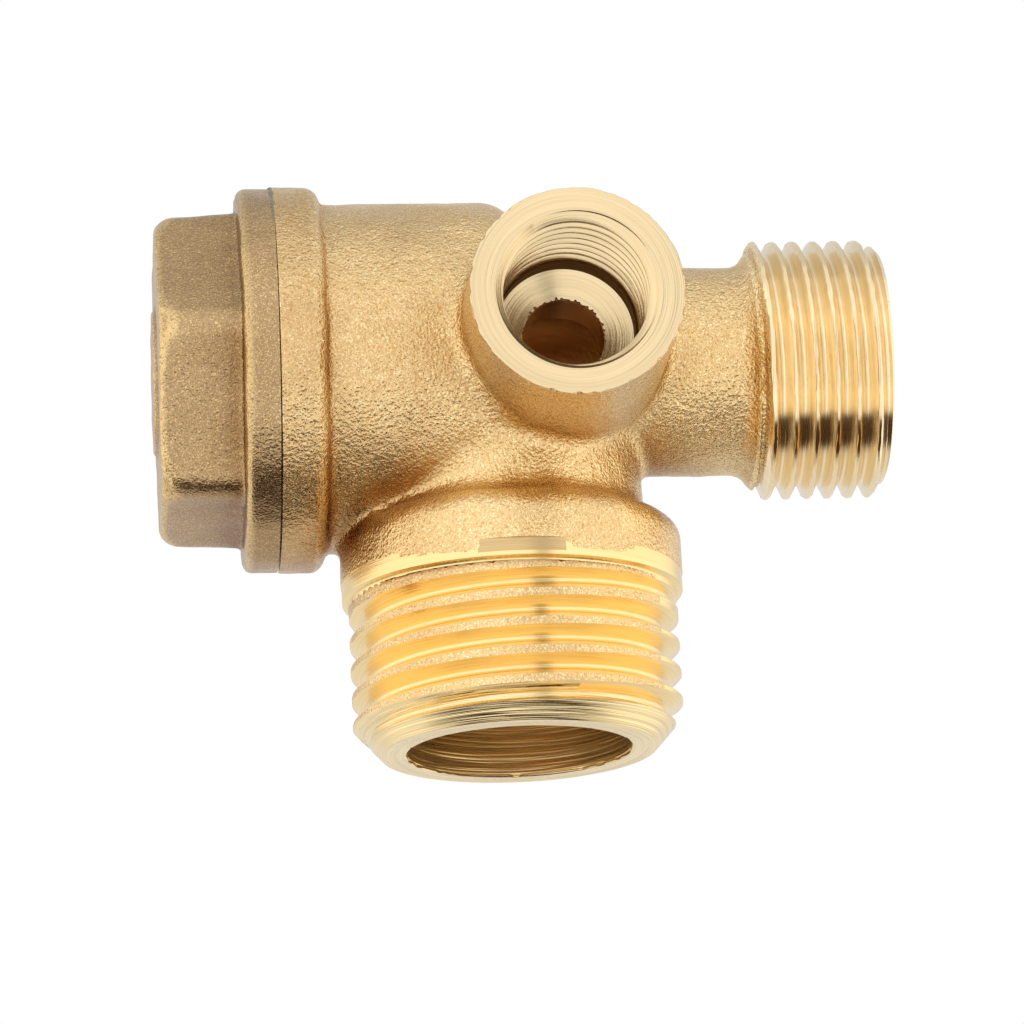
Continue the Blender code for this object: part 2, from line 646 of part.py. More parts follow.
def build_valve():
    clear_scene()
    frame = bpy.data.objects.new("valve_frame", None)
    frame.location = ORIGIN_SHIFT
    bpy.context.collection.objects.link(frame)
    cast_brass = make_material("cast_brass", (0.55, 0.36, 0.13), 1.0, 0.45)
    dark_bronze = make_material("dark_bronze", (0.30, 0.21, 0.11), 1.0, 0.5)
    turned_brass = make_material("turned_brass", (0.80, 0.58, 0.25), 1.0, 0.25)
    rubber = make_material("black_rubber", (0.02, 0.02, 0.02), 0.0, 0.7)
    steel = make_material("spring_steel", (0.62, 0.61, 0.58), 1.0, 0.3)
    build_body(frame, cast_brass)
    build_cap(frame, dark_bronze)
    build_seal_ring(frame, rubber)
    build_spring(frame, steel)
    build_poppet(frame, turned_brass)
    build_seal_disc(frame, rubber)


build_valve()
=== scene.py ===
"""Looks of a three-port brass check valve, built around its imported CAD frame.

Shapes are worked out in millimetres in the valve's drawing frame: the tank
port's axis is x = 0, y = 0, its end face is z = 0, and the barrel's axis runs
along x at a height of AXIS_HEIGHT. The function place_mesh turns them into
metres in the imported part's frame.
"""

import math

import bmesh
import bpy
import numpy as np
from mathutils import Matrix, Vector


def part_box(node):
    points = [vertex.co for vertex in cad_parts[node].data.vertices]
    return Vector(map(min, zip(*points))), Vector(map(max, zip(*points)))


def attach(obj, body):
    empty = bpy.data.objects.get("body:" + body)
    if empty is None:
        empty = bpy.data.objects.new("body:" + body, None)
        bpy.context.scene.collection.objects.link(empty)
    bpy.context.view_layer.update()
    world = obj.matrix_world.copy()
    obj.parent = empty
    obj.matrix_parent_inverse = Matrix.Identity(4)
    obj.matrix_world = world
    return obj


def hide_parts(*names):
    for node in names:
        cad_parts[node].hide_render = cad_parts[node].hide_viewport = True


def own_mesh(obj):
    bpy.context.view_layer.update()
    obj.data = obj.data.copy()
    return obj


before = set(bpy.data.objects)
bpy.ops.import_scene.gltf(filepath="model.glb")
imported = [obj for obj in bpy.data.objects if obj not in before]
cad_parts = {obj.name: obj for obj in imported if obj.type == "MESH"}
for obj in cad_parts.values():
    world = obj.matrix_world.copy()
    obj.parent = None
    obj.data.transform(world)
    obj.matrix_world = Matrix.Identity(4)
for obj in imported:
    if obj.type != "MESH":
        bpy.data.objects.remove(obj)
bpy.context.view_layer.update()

# Camera. A long lens a little to the left of the valve and well below its axis,
# rolled a few degrees, as a tabletop product shot of a hanging or raised part.
# The drawing frame is found from the body's inlet end, boss end and underside.
MM = 0.001
INLET_END = 24.3
BOSS_REACH = 17.7
body_low, body_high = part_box("valve_body")
DRAWING_ORIGIN = Vector((body_high.x - INLET_END * MM, body_low.y + BOSS_REACH * MM, body_low.z))
CAMERA_AZIMUTH = math.radians(-5.19)
CAMERA_ELEVATION = math.radians(-15.585)
CAMERA_ROLL = math.radians(2.69)
CAMERA_DISTANCE = 328.28
CAMERA_TARGET = Vector((0.231, 0.0, 15.728))
CAMERA_LENS = 180.56
CAMERA_SENSOR = 36
CAMERA_NEAR = 0.01
CAMERA_FAR = 10


def add_object(name, data):
    """Object of a mesh, lamp or camera, in the scene's collection."""
    made = bpy.data.objects.new(name, data)
    bpy.context.collection.objects.link(made)
    return made


def aim_camera():
    """Place the camera at the target plus the distance times the view direction."""
    back = Vector((
        math.sin(CAMERA_AZIMUTH) * math.cos(CAMERA_ELEVATION),
        -math.cos(CAMERA_AZIMUTH) * math.cos(CAMERA_ELEVATION),
        math.sin(CAMERA_ELEVATION),
    ))
    level = Vector((math.cos(CAMERA_AZIMUTH), math.sin(CAMERA_AZIMUTH), 0))
    upright = back.cross(level)
    right = math.cos(CAMERA_ROLL) * level - math.sin(CAMERA_ROLL) * upright
    up = math.sin(CAMERA_ROLL) * level + math.cos(CAMERA_ROLL) * upright
    turn = Matrix((right, up, back)).transposed().to_4x4()
    camera = add_object("camera", bpy.data.cameras.new("camera"))
    place = (CAMERA_TARGET + CAMERA_DISTANCE * back) * MM + DRAWING_ORIGIN
    camera.matrix_world = Matrix.Translation(place) @ turn
    camera.data.lens = CAMERA_LENS
    camera.data.sensor_width = CAMERA_SENSOR
    camera.data.clip_start = CAMERA_NEAR
    camera.data.clip_end = CAMERA_FAR
    bpy.context.scene.camera = camera


aim_camera()

# Studio. A white surround, whose bright and dark bands only the metal shows, one
# soft box over the valve, and a pale floor. The floor shows only from above,
# because the camera looks up at the valve from below it.
FLOOR_SIZE = 3.0
FLOOR_GAP = 0.05 * MM
FLOOR_COLOR = (0.80, 0.79, 0.77, 1)
WHITE = (1, 1, 1, 1)
DARK_BAND = (0.055, 0.028, 0.014)
# Stops of the bands and of the stripe: share of the turn, and grey or colour.
BANDS = [
    (0.00, 0.85), (0.17, 0.85), (0.198, 0.78), (0.230, DARK_BAND), (0.318, DARK_BAND), (0.334, 1.06),
    (0.375, 1.22), (0.54, 1.24), (0.575, 1.40), (0.605, 1.26), (0.68, 0.80), (0.80, 0.68), (1.0, 0.80),
]
SIDE_TONE = (1.32, 1.28, 1.20)
STRIPE = [(0.526, 1.0), (0.542, 0.36), (0.552, 0.36), (0.568, 1.0)]
valve_middle = Vector((0.0, 0.0, 0.018))


def add_node(tree, kind, *values, **settings):
    """Add a shader node and return it.

    The values go to its inputs in order. A socket is linked, None is passed
    over, and anything else is set on the input. A dictionary names its inputs.
    """
    made = tree.nodes.new("ShaderNode" + kind)
    for setting, value in settings.items():
        setattr(made, setting, value)
    pairs = list(zip(made.inputs, [value for value in values if not isinstance(value, dict)]))
    for value in values:
        if isinstance(value, dict):
            pairs += [(made.inputs[name], entry) for name, entry in value.items()]
    for socket, value in pairs:
        if isinstance(value, bpy.types.NodeSocket):
            tree.links.new(value, socket)
        elif value is not None:
            socket.default_value = value
    return made


def calculate(tree, operation, *values):
    """Output of a Math node."""
    return add_node(tree, "Math", *values, operation=operation).outputs[0]


def spread(tree, value, low, high, to_low=0.0, to_high=1.0):
    """Value mapped from one range to another, and clamped to it."""
    return add_node(tree, "MapRange", value, low, high, to_low, to_high).outputs[0]


def mixed_color(tree, factor, first, second, blend="MIX"):
    """Colour between two colours or sockets."""
    made = add_node(tree, "Mix", data_type="RGBA", blend_type=blend)
    for socket, value in ((made.inputs[0], factor), (made.inputs[6], first), (made.inputs[7], second)):
        if isinstance(value, bpy.types.NodeSocket):
            tree.links.new(value, socket)
        else:
            socket.default_value = (*value, 1) if isinstance(value, tuple) else value
    return made.outputs[2]


def ramp(tree, factor, stops):
    """Colour ramp from (position, colour) stops, where a number is a grey."""
    made = add_node(tree, "ValToRGB", factor)
    band = made.color_ramp
    while len(band.elements) < len(stops):
        band.elements.new(0.5)
    for element, (position, color) in zip(band.elements, stops):
        element.position = position
        element.color = (*color, 1) if isinstance(color, tuple) else (color, color, color, 1)
    return made.outputs[0]


def empty_tree(owner):
    """Node tree of a material or a world, cleared of its first nodes."""
    owner.use_nodes = True
    owner.node_tree.nodes.clear()
    return owner.node_tree


def make_floor():
    """A square that is pale from above, and clear from below, to lamps and to reflections."""
    material = bpy.data.materials.new("floor_paint")
    tree = empty_tree(material)
    paint = add_node(tree, "BsdfDiffuse", FLOOR_COLOR)
    clear = add_node(tree, "BsdfTransparent")
    path = add_node(tree, "LightPath")
    below = add_node(tree, "NewGeometry").outputs["Backfacing"]
    hidden = calculate(tree, "MAXIMUM", path.outputs["Is Shadow Ray"], path.outputs["Is Glossy Ray"])
    hidden = calculate(tree, "MAXIMUM", hidden, below)
    mix = add_node(tree, "MixShader", hidden, paint.outputs[0], clear.outputs[0])
    add_node(tree, "OutputMaterial", mix.outputs[0])
    mesh = bpy.data.meshes.new("floor")
    half = FLOOR_SIZE / 2
    corners = [(x, y, -FLOOR_GAP) for x, y in ((-half, -half), (half, -half), (half, half), (-half, half))]
    mesh.from_pydata(corners, [], [(0, 1, 2, 3)])
    mesh.materials.append(material)
    floor = add_object("floor", mesh)


def make_world():
    """White for the camera, and a ring of bright and dark bands for the metal.

    The bands follow the angle about the x axis, from straight behind the valve,
    under it, to the camera's side, over it and back. They fade to an even tone
    towards the far left and right, where all of those angles meet. The stripe
    follows the angle about the z axis. It is a grey upright one, a little to the
    right of the camera, and fades out above and below.
    """
    world = bpy.data.worlds.new("surround")
    bpy.context.scene.world = world
    tree = empty_tree(world)
    direction = add_node(tree, "TexCoord").outputs["Generated"]
    parts = add_node(tree, "SeparateXYZ", direction)
    toward = calculate(tree, "MULTIPLY", parts.outputs[1], -1.0)
    turn = calculate(tree, "ARCTAN2", parts.outputs[2], toward)
    bands = ramp(tree, calculate(tree, "MULTIPLY_ADD", turn, 0.5 / math.pi, 0.5), BANDS)
    aside = spread(tree, calculate(tree, "ABSOLUTE", parts.outputs[0]), 0.55, 0.85)
    even = mixed_color(tree, aside, bands, SIDE_TONE)
    turn = calculate(tree, "ARCTAN2", parts.outputs[0], toward)
    stripe = ramp(tree, calculate(tree, "MULTIPLY_ADD", turn, 0.5 / math.pi, 0.5), STRIPE)
    steep = spread(tree, calculate(tree, "ABSOLUTE", parts.outputs[2]), 0.35, 0.6)
    stripe = calculate(tree, "MAXIMUM", stripe, steep)
    light = add_node(tree, "Background", mixed_color(tree, 1.0, even, stripe, "MULTIPLY"), 1.0)
    seen = add_node(tree, "Background", WHITE, 1.0)
    path = add_node(tree, "LightPath")
    mix = add_node(tree, "MixShader", path.outputs["Is Camera Ray"], light.outputs[0], seen.outputs[0])
    add_node(tree, "OutputWorld", mix.outputs[0])


def soft_box(name, direction, distance, width, height, power):
    """Rectangular lamp in a direction from the valve, aimed at its middle."""
    lamp = bpy.data.lights.new(name, "AREA")
    lamp.shape = "RECTANGLE"
    lamp.size = width
    lamp.size_y = height
    lamp.energy = power
    holder = add_object(name, lamp)
    away = Vector(direction).normalized()
    holder.location = valve_middle + away * distance
    holder.rotation_mode = "QUATERNION"
    holder.rotation_quaternion = away.to_track_quat("Z", "Y")


bpy.context.scene.view_settings.view_transform = "Standard"
make_floor()
make_world()
soft_box("top_box", direction=(0.1, -0.35, 0.93), distance=0.6, width=0.6, height=0.4, power=0.15)

# Valve body. One brass casting with a shot-blasted skin, then machined: the
# three threaded ports, the valve chamber and the flat faces are cut from it.
# Stations run along the port's axis, as x, z or -y. Bores are given as radii.
AXIS_HEIGHT = 24.8
BODY_FACE = -14.7
BOSS_OFFSET = 3.3
BARREL_RADIUS = 11.2
FLANGE_RADIUS = 12.35
NECK_RADIUS = 6.72
INLET_BLANK_RADIUS = 8.6
SHOULDER_START = 15.35
SHOULDER_SLOPE = 1.9
SHOULDER_SCALE = 2.15
FIRST_CREST = 16.1
UNDERCUT_RADIUS = 7.7
UNDERCUT_END = 16.2
STEM_RADIUS = 8.6
COLLAR_RADIUS = 10.9
COLLAR_UNDERSIDE = 9.75
COLLAR_FLATNESS = 1.012
TANK_BLANK_RADIUS = 10.5
TANK_BLANK_FLATNESS = 1.022
TANK_BLANK_OFFSET = 0.05
BOSS_RADIUS = 6.64
GATE_HEIGHT = 0.2
GATE_HALF_WIDTH = 2.5
GATE_RIDGE_HEIGHT = 0.05
GATE_RIDGE_PLACE = -0.5
GATE_RIDGE_WIDTH = 0.35
BAND_START = 9.85
BAND_FULL = 10.0
BAND_GATE = 10.25
BAND_TOP = 11.1
BAND_RIM = 11.15
BAND_RADIUS = 10.84
TANK_THREAD_RADIUS = 10.4775
TANK_PITCH = 1.814
TANK_CHAMFER_TOP = 1.9
TANK_BORE = 7.14
TANK_BORE_TOP = 14.4
INLET_THREAD_RADIUS = 8.331
INLET_PITCH = 1.337
INLET_BORE = 4.75
INNER_BORE = 4.70
BOSS_BORE = 4.5
BOSS_PITCH = 1.0
HOLE_RADIUS = 2.6
CHAMBER_RADIUS = 8.2
CHAMBER_END = -2.0
SPIGOT_BORE = 9.2
RECESS_RADIUS = 10.7
RECESS_FLOOR = -13.2
SEAT_RADIUS = 4.7
SEAT_FACE = -2.8
SEAT_BORE = 3.8
NET_STEP = 0.32
NET_LOW = np.array([-18.0, -20.0, -2.5])
NET_HIGH = np.array([27.0, 13.5, 38.5])
barrel_axis = np.array([0.0, 0.0, AXIS_HEIGHT])
boss_axis = np.array([BOSS_OFFSET, 0.0, AXIS_HEIGHT])
passage_axis = np.array([-4.6, 0.0, 0.0])


def rounded_edge(first, second, rounding):
    """Distance to what two solids share, with the edge between them rounded.

    Both distances are measured from solids shrunk by the rounding, joined as
    the two legs of a right triangle, and reduced by the rounding again.
    """
    first = first + rounding
    second = second + rounding
    outside = np.hypot(np.maximum(first, 0), np.maximum(second, 0))
    return np.minimum(np.maximum(first, second), 0) + outside - rounding


def rounded_rod(along, radial, radius, start, end, rounding):
    """Signed distance to a round bar with rounded ends.

    The bar is what its cylinder shares with the slab between its two ends.
    """
    endward = np.abs(along - (start + end) / 2) - (end - start) / 2
    return rounded_edge(radial - radius, endward, rounding)


def filleted(first, second, fillet):
    """Distance to both solids together, with a round fillet where they meet."""
    return -rounded_edge(-first, -second, fillet)


def waves(points, wavelength, count, seed):
    """Sum of sine waves with seeded directions, about one in size.

    Each wave's length is the given one over 0.7 to 1.4, and the sum is divided
    by the root of their count.
    """
    dice = np.random.default_rng(seed)
    directions = dice.normal(size=(count, 3))
    directions /= np.linalg.norm(directions, axis=1)[:, None]
    numbers = directions * (2 * np.pi / wavelength * dice.uniform(0.7, 1.4, count))[:, None]
    shifts = dice.uniform(0, 2 * np.pi, count)
    total = np.zeros(points.shape[:-1])
    for number, shift in zip(numbers, shifts):
        total += np.sin(points @ number + shift)
    return total / math.sqrt(count)


def gate_stub(x, y, z):
    """Height of what is left of the casting's gate, on the front of the collar.

    It is a flat-topped bump across x, highest at the collar's lower edge, with a
    fine upright ridge on it.
    """
    bump = GATE_HEIGHT * np.exp(-(x / GATE_HALF_WIDTH) ** 4) * np.clip((12.6 - z) / 1.4, 0.3, 1)
    ridge = GATE_RIDGE_HEIGHT * np.exp(-((x - GATE_RIDGE_PLACE) / GATE_RIDGE_WIDTH) ** 2)
    return (y < 0) * (bump + ridge)


def casting_form(points):
    """Signed distance to the casting's smooth form.

    Barrel, flange, neck, inlet blank, stem, collar, tank blank and boss are
    round bars with rounded ends, each about its port's axis, and fillets join
    them. A cone leads from the neck to the inlet blank, which is undercut before
    its first crest. The collar flares a little towards the thread, and carries
    the gate's stub in front.
    """
    x, y, z = points[..., 0], points[..., 1], points[..., 2]
    from_barrel = np.hypot(y, z - AXIS_HEIGHT)
    from_tank = np.hypot(x, y)
    from_boss = np.hypot(x - BOSS_OFFSET, z - AXIS_HEIGHT)
    barrel = rounded_rod(x, from_barrel, BARREL_RADIUS, start=-16.5, end=1.6, rounding=3.2)
    flange = rounded_rod(x, from_barrel, FLANGE_RADIUS, start=-17.5, end=-11.75, rounding=0.95)
    barrel = filleted(barrel, flange, 0.45)
    neck = rounded_rod(x, from_barrel, NECK_RADIUS, start=-4.0, end=17.5, rounding=0.2)
    shoulder = (from_barrel - NECK_RADIUS - SHOULDER_SLOPE * (x - SHOULDER_START)) / SHOULDER_SCALE
    inlet = rounded_rod(x, from_barrel, INLET_BLANK_RADIUS, start=14.0, end=26.0, rounding=0.2)
    inlet = rounded_edge(inlet, shoulder, 0.3)
    undercut = rounded_edge(from_barrel - UNDERCUT_RADIUS, x - UNDERCUT_END, 0.1)
    inlet = np.minimum(rounded_edge(inlet, FIRST_CREST - x, 0.1), rounded_edge(inlet, undercut, 0.3))
    neck = filleted(neck, inlet, 0.6)
    stem = rounded_rod(z, from_tank, STEM_RADIUS, start=2.0, end=26.6, rounding=8.5)
    flare = 0.15 * np.clip((BAND_TOP - z) / 1.2, 0, 1) ** 2
    from_collar = np.hypot(x, y * COLLAR_FLATNESS) - gate_stub(x, y, z) - flare
    collar = rounded_rod(z, from_collar, COLLAR_RADIUS, start=8.2, end=14.75, rounding=1.75)
    collar = np.maximum(collar, COLLAR_UNDERSIDE - z)
    from_blank = np.hypot(x - TANK_BLANK_OFFSET, y * TANK_BLANK_FLATNESS)
    tank_blank = rounded_rod(z, from_blank, TANK_BLANK_RADIUS, start=-1.5, end=12.5, rounding=0.2)
    stem = filleted(stem, np.minimum(collar, tank_blank), 1.3)
    boss = rounded_rod(-y, from_boss, BOSS_RADIUS, start=-2.0, end=19.0, rounding=0.2)
    whole = filleted(barrel, neck, 1.2)
    whole = filleted(whole, stem, 0.8)
    return filleted(whole, boss, 1.0)


def casting(points):
    """The casting's form with the slight waves of its sand mould, least at the tank port."""
    calm = np.clip((points[..., 2] - 11.0) / 2, 0.3, 1)
    long_waves = 0.035 * waves(points, wavelength=3.6, count=18, seed=11)
    short_waves = 0.012 * waves(points, wavelength=1.5, count=24, seed=12)
    return casting_form(points) + calm * (long_waves + short_waves)


def surface_net(field, low, high, step):
    """Quads of the field's zero surface on a regular grid.

    Each cell that the surface crosses gets one vertex, at the mean of the
    crossings on its edges, and each crossed edge joins the four cells around it.
    """
    counts = np.ceil((high - low) / step).astype(int) + 1
    axes = [low[i] + step * np.arange(counts[i]) for i in range(3)]
    values = field(np.stack(np.meshgrid(*axes, indexing="ij"), -1))
    inside = values < 0
    shape = tuple(counts - 1)
    corners = np.zeros(shape, int)
    for dx, dy, dz in np.ndindex(2, 2, 2):
        corners += inside[dx:shape[0] + dx, dy:shape[1] + dy, dz:shape[2] + dz]
    crossed = (corners > 0) & (corners < 8)
    index = np.full(shape, -1)
    index[crossed] = np.arange(crossed.sum())
    cells = np.argwhere(crossed)
    total = np.zeros((len(cells), 3))
    found = np.zeros(len(cells))
    for axis, first, second in ((0, 1, 2), (1, 2, 0), (2, 0, 1)):
        for side, other in np.ndindex(2, 2):
            start = cells.copy()
            start[:, first] += side
            start[:, second] += other
            end = start.copy()
            end[:, axis] += 1
            here, there = values[tuple(start.T)], values[tuple(end.T)]
            cut = (here < 0) != (there < 0)
            point = start.astype(float)
            point[:, axis] += here / np.where(cut, here - there, 1)
            total[cut] += point[cut]
            found[cut] += 1
    quads = []
    for axis, first, second in ((0, 1, 2), (1, 2, 0), (2, 0, 1)):
        near, far = [slice(None)] * 3, [slice(None)] * 3
        near[axis], far[axis] = slice(0, -1), slice(1, None)
        edges = np.argwhere(inside[tuple(near)] != inside[tuple(far)])
        around = []
        for back, aside in ((1, 1), (0, 1), (0, 0), (1, 0)):
            cell = edges.copy()
            cell[:, first] -= back
            cell[:, second] -= aside
            around.append(index[tuple(cell.T)])
        faces = np.stack(around, 1)
        outward = inside[tuple(edges.T)]
        faces[~outward] = faces[~outward][:, ::-1]
        quads.append(faces)
    return total / found[:, None] * step + low, np.concatenate(quads)


def settle(field, points, rounds=3, reach=0.02):
    """Move points along the field's gradient until they lie on its zero surface.

    Each round takes away the gradient times the field's value over the
    gradient's square.
    """
    for _ in range(rounds):
        slope = np.stack([
            (field(points + reach * unit) - field(points - reach * unit)) / (2 * reach)
            for unit in np.eye(3)
        ], -1)
        points = points - (field(points) / np.maximum((slope ** 2).sum(-1), 1e-6))[:, None] * slope
    return points


def place_mesh(name, points, faces):
    """Mesh object from drawing-frame millimetres, with its place in its vertices."""
    mesh = bpy.data.meshes.new(name)
    metres = np.asarray(points) * MM + np.array(DRAWING_ORIGIN)
    mesh.from_pydata(metres.tolist(), [], faces)
    mesh.validate()
    return add_object(name, mesh)


def along_x(points):
    """Turn a shape made about z so that it lies along +x, on the barrel's axis."""
    return np.stack([points[:, 2], points[:, 1], -points[:, 0]], -1) + barrel_axis


def along_minus_y(points):
    """Turn a shape made about z so that it lies along -y, on the boss's axis."""
    return np.stack([points[:, 0], -points[:, 2], points[:, 1]], -1) + boss_axis


def circle_angles(count):
    """Angles of evenly spaced points round a circle, the first one not repeated."""
    return 2 * np.pi * np.arange(count) / count


def rounded_outline(corners, steps=6):
    """Outline of (radius, station) corners, each third number an arc's radius.

    An arc touches both of its corner's sides. Its points are the start and end
    weighted by the sines of the angles left and gone.
    """
    points = []
    for number, (radius, station, *rounding) in enumerate(corners):
        here = np.array([radius, station], float)
        if not rounding:
            points.append(here)
            continue
        before = np.array(corners[number - 1][:2], float) - here
        after = np.array(corners[(number + 1) % len(corners)][:2], float) - here
        lengths = np.linalg.norm(before), np.linalg.norm(after)
        before, after = before / lengths[0], after / lengths[1]
        half = math.acos(float(np.clip(before @ after, -1, 1))) / 2
        reach = min(rounding[0] / math.tan(half), 0.48 * min(lengths))
        middle = (before + after) / np.linalg.norm(before + after)
        centre = here + middle * reach / math.cos(half)
        share = np.linspace(0, 1, steps + 1)[:, None]
        sweep = math.pi - 2 * half
        start, end = here + before * reach - centre, here + after * reach - centre
        arc = np.sin((1 - share) * sweep) * start + np.sin(share * sweep) * end
        points.extend(centre + arc / math.sin(sweep))
    return np.array(points)


def turned(corners, segments):
    """Outline spun about z, as one closed grid of angle by outline point.

    An outline whose first and last points have radius zero is closed by fans at
    its poles, and any other outline is a ring whose section is closed.
    """
    outline = rounded_outline(corners)
    solid = outline[0, 0] == 0
    rows = outline[1:-1] if solid else outline
    angle = circle_angles(segments)
    grid = np.stack([
        rows[:, :1] * np.cos(angle), rows[:, :1] * np.sin(angle),
        np.broadcast_to(rows[:, 1:], (len(rows), segments)),
    ], -1).reshape(-1, 3)
    row = np.arange(len(rows) - 1 if solid else len(rows))[:, None] * segments
    above = (row + segments) % len(grid)
    here = np.arange(segments)[None, :]
    following = (here + 1) % segments
    faces = np.stack([row + here, row + following, above + following, above + here], -1)
    faces = faces.reshape(-1, 4).tolist()
    if solid:
        poles = np.array([[0, 0, outline[0, 1]], [0, 0, outline[-1, 1]]])
        top = len(grid) - segments
        low_fan = np.stack([following[0], here[0], np.full(segments, len(grid))], -1)
        high_fan = np.stack([top + here[0], top + following[0], np.full(segments, len(grid) + 1)], -1)
        faces += low_fan.tolist() + high_fan.tolist()
        grid = np.concatenate([grid, poles])
    return grid, faces


def tube(rings):
    """Closed skin over a row of rings, with a flat cap at each end."""
    count, size, _ = rings.shape
    row = np.arange(count - 1)[:, None] * size
    here = np.arange(size)[None, :]
    following = (here + 1) % size
    faces = np.stack([row + here, row + following, row + size + following, row + size + here], -1)
    caps = [list(range(size))[::-1], list(range((count - 1) * size, count * size))]
    return rings.reshape(-1, 3), faces.reshape(-1, 4).tolist() + caps


# A pipe thread's own proportions: depth and root arc as shares of the pitch, and
# the flank's angle in degrees. The lip is the flare at the groove's mouth, as
# heights over the crest's radius and steps aside, up to a share of the pitch.
THREAD_DEPTH = 0.640327
THREAD_ROUNDING = 0.137329
FLANK_ANGLE = 27.5
FLANK_POINT = 0.65
THREAD_LIP = np.array([[-0.07, 0], [-0.015, 0.05], [0.04, 0.1], [0.35, 0.1]])
THREAD_LIP_LIMIT = 0.47


def thread_groove(crest_radius, pitch, crest_station, span, per_turn, seed, fade_first=0.0, fade_last=0.0,
                  inward=1, raggedness=0.02):
    """Cutter for a right-hand pipe thread: a rounded V carried along a helix.

    Half of the section is the root's arc, one point on the flank and the lip,
    which gives the crests a small round edge. Sines of the angle move the lip's
    points along the thread by about the raggedness. The groove fades out of the
    bar over a share of a turn at either end. With inward = -1 the groove goes
    outward from a bore.
    """
    depth, root = THREAD_DEPTH * pitch, THREAD_ROUNDING * pitch
    slope = math.tan(math.radians(FLANK_ANGLE))
    bend = np.radians(np.linspace(0, 90 - FLANK_ANGLE, 5))
    half = np.stack([root * (1 - np.cos(bend)) - depth, root * np.sin(bend)], -1)
    mouth = half[-1, 1] + (THREAD_LIP[0, 0] - half[-1, 0]) * slope
    lip = THREAD_LIP + [0, mouth]
    lip[:, 1] = np.minimum(lip[:, 1], THREAD_LIP_LIMIT * pitch)
    half = np.concatenate([half, [half[-1] + FLANK_POINT * (lip[0] - half[-1])], lip])
    section = np.concatenate([half[::-1] * [1, -1], half[1:]])
    station = crest_station + pitch / 2
    first = math.floor((span[0] - station) / pitch * per_turn)
    last = math.ceil((span[1] - station) / pitch * per_turn)
    step = np.arange(first, last + 1)
    angle = 2 * np.pi * step / per_turn
    fade = np.zeros(len(step))
    if fade_first:
        fade = np.maximum(fade, 1 - (step - first) / per_turn / fade_first)
    if fade_last:
        fade = np.maximum(fade, 1 - (last - step) / per_turn / fade_last)
    dice = np.random.default_rng(seed)
    shake = np.zeros((2, len(step)))
    for number in dice.uniform(7, 40, 14):
        shake += np.sin(angle * number + dice.uniform(0, 6.28, (2, 1))) * dice.uniform(0.3, 1, (2, 1))
    edge = np.zeros((2, len(section)))
    edge[0, 1:4] = 1
    edge[1, -4:-1] = 1
    radius = crest_radius + inward * (section[None, :, 0] + (fade * (depth + 0.3))[:, None])
    height = (station + pitch * step / per_turn)[:, None] + section[None, :, 1]
    height = height + raggedness * (shake.T @ edge) / 3
    rings = np.stack([radius * np.cos(angle)[:, None], radius * np.sin(angle)[:, None], height], -1)
    return tube(rings if inward > 0 else rings[:, ::-1])


def machine(body, cutter):
    """Cut the body with a closed cutter and drop the cutter."""
    shape = bmesh.new()
    shape.from_mesh(cutter.data)
    if shape.calc_volume(signed=True) < 0:
        bmesh.ops.reverse_faces(shape, faces=shape.faces)
        shape.to_mesh(cutter.data)
    shape.free()
    cut = body.modifiers.new(cutter.name, "BOOLEAN")
    cut.object = cutter
    cut.operation = "DIFFERENCE"
    cut.solver = "MANIFOLD"
    ready = body.evaluated_get(bpy.context.evaluated_depsgraph_get())
    body.data = bpy.data.meshes.new_from_object(ready)
    body.modifiers.clear()
    bpy.data.objects.remove(cutter)


def ragged(points, amount, seed, finest=60):
    """Let the radius about z wander with the angle, by 16 sines.

    Each has a whole number of waves round the turn, from 5 to below the finest,
    and the amount is a share of the radius.
    """
    dice = np.random.default_rng(seed)
    angle = np.arctan2(points[:, 1], points[:, 0])
    wander = np.zeros(len(points))
    for number in dice.integers(5, finest, 16):
        wander += np.sin(angle * number + dice.uniform(0, 6.28)) * dice.uniform(0.2, 1)
    return points * np.stack([1 + amount * wander / 3] * 2 + [np.ones(len(points))], -1)


def cut_turned(body, name, corners, segments, place=None, burr=None):
    """Cut the body with an outline spun about z and placed on its port's axis.

    With a burr, which holds the values of ragged, the cut's edge is ragged.
    """
    points, faces = turned(corners, segments)
    if burr:
        points = ragged(points, **burr)
    machine(body, place_mesh(name, place(points) if place else points, faces))


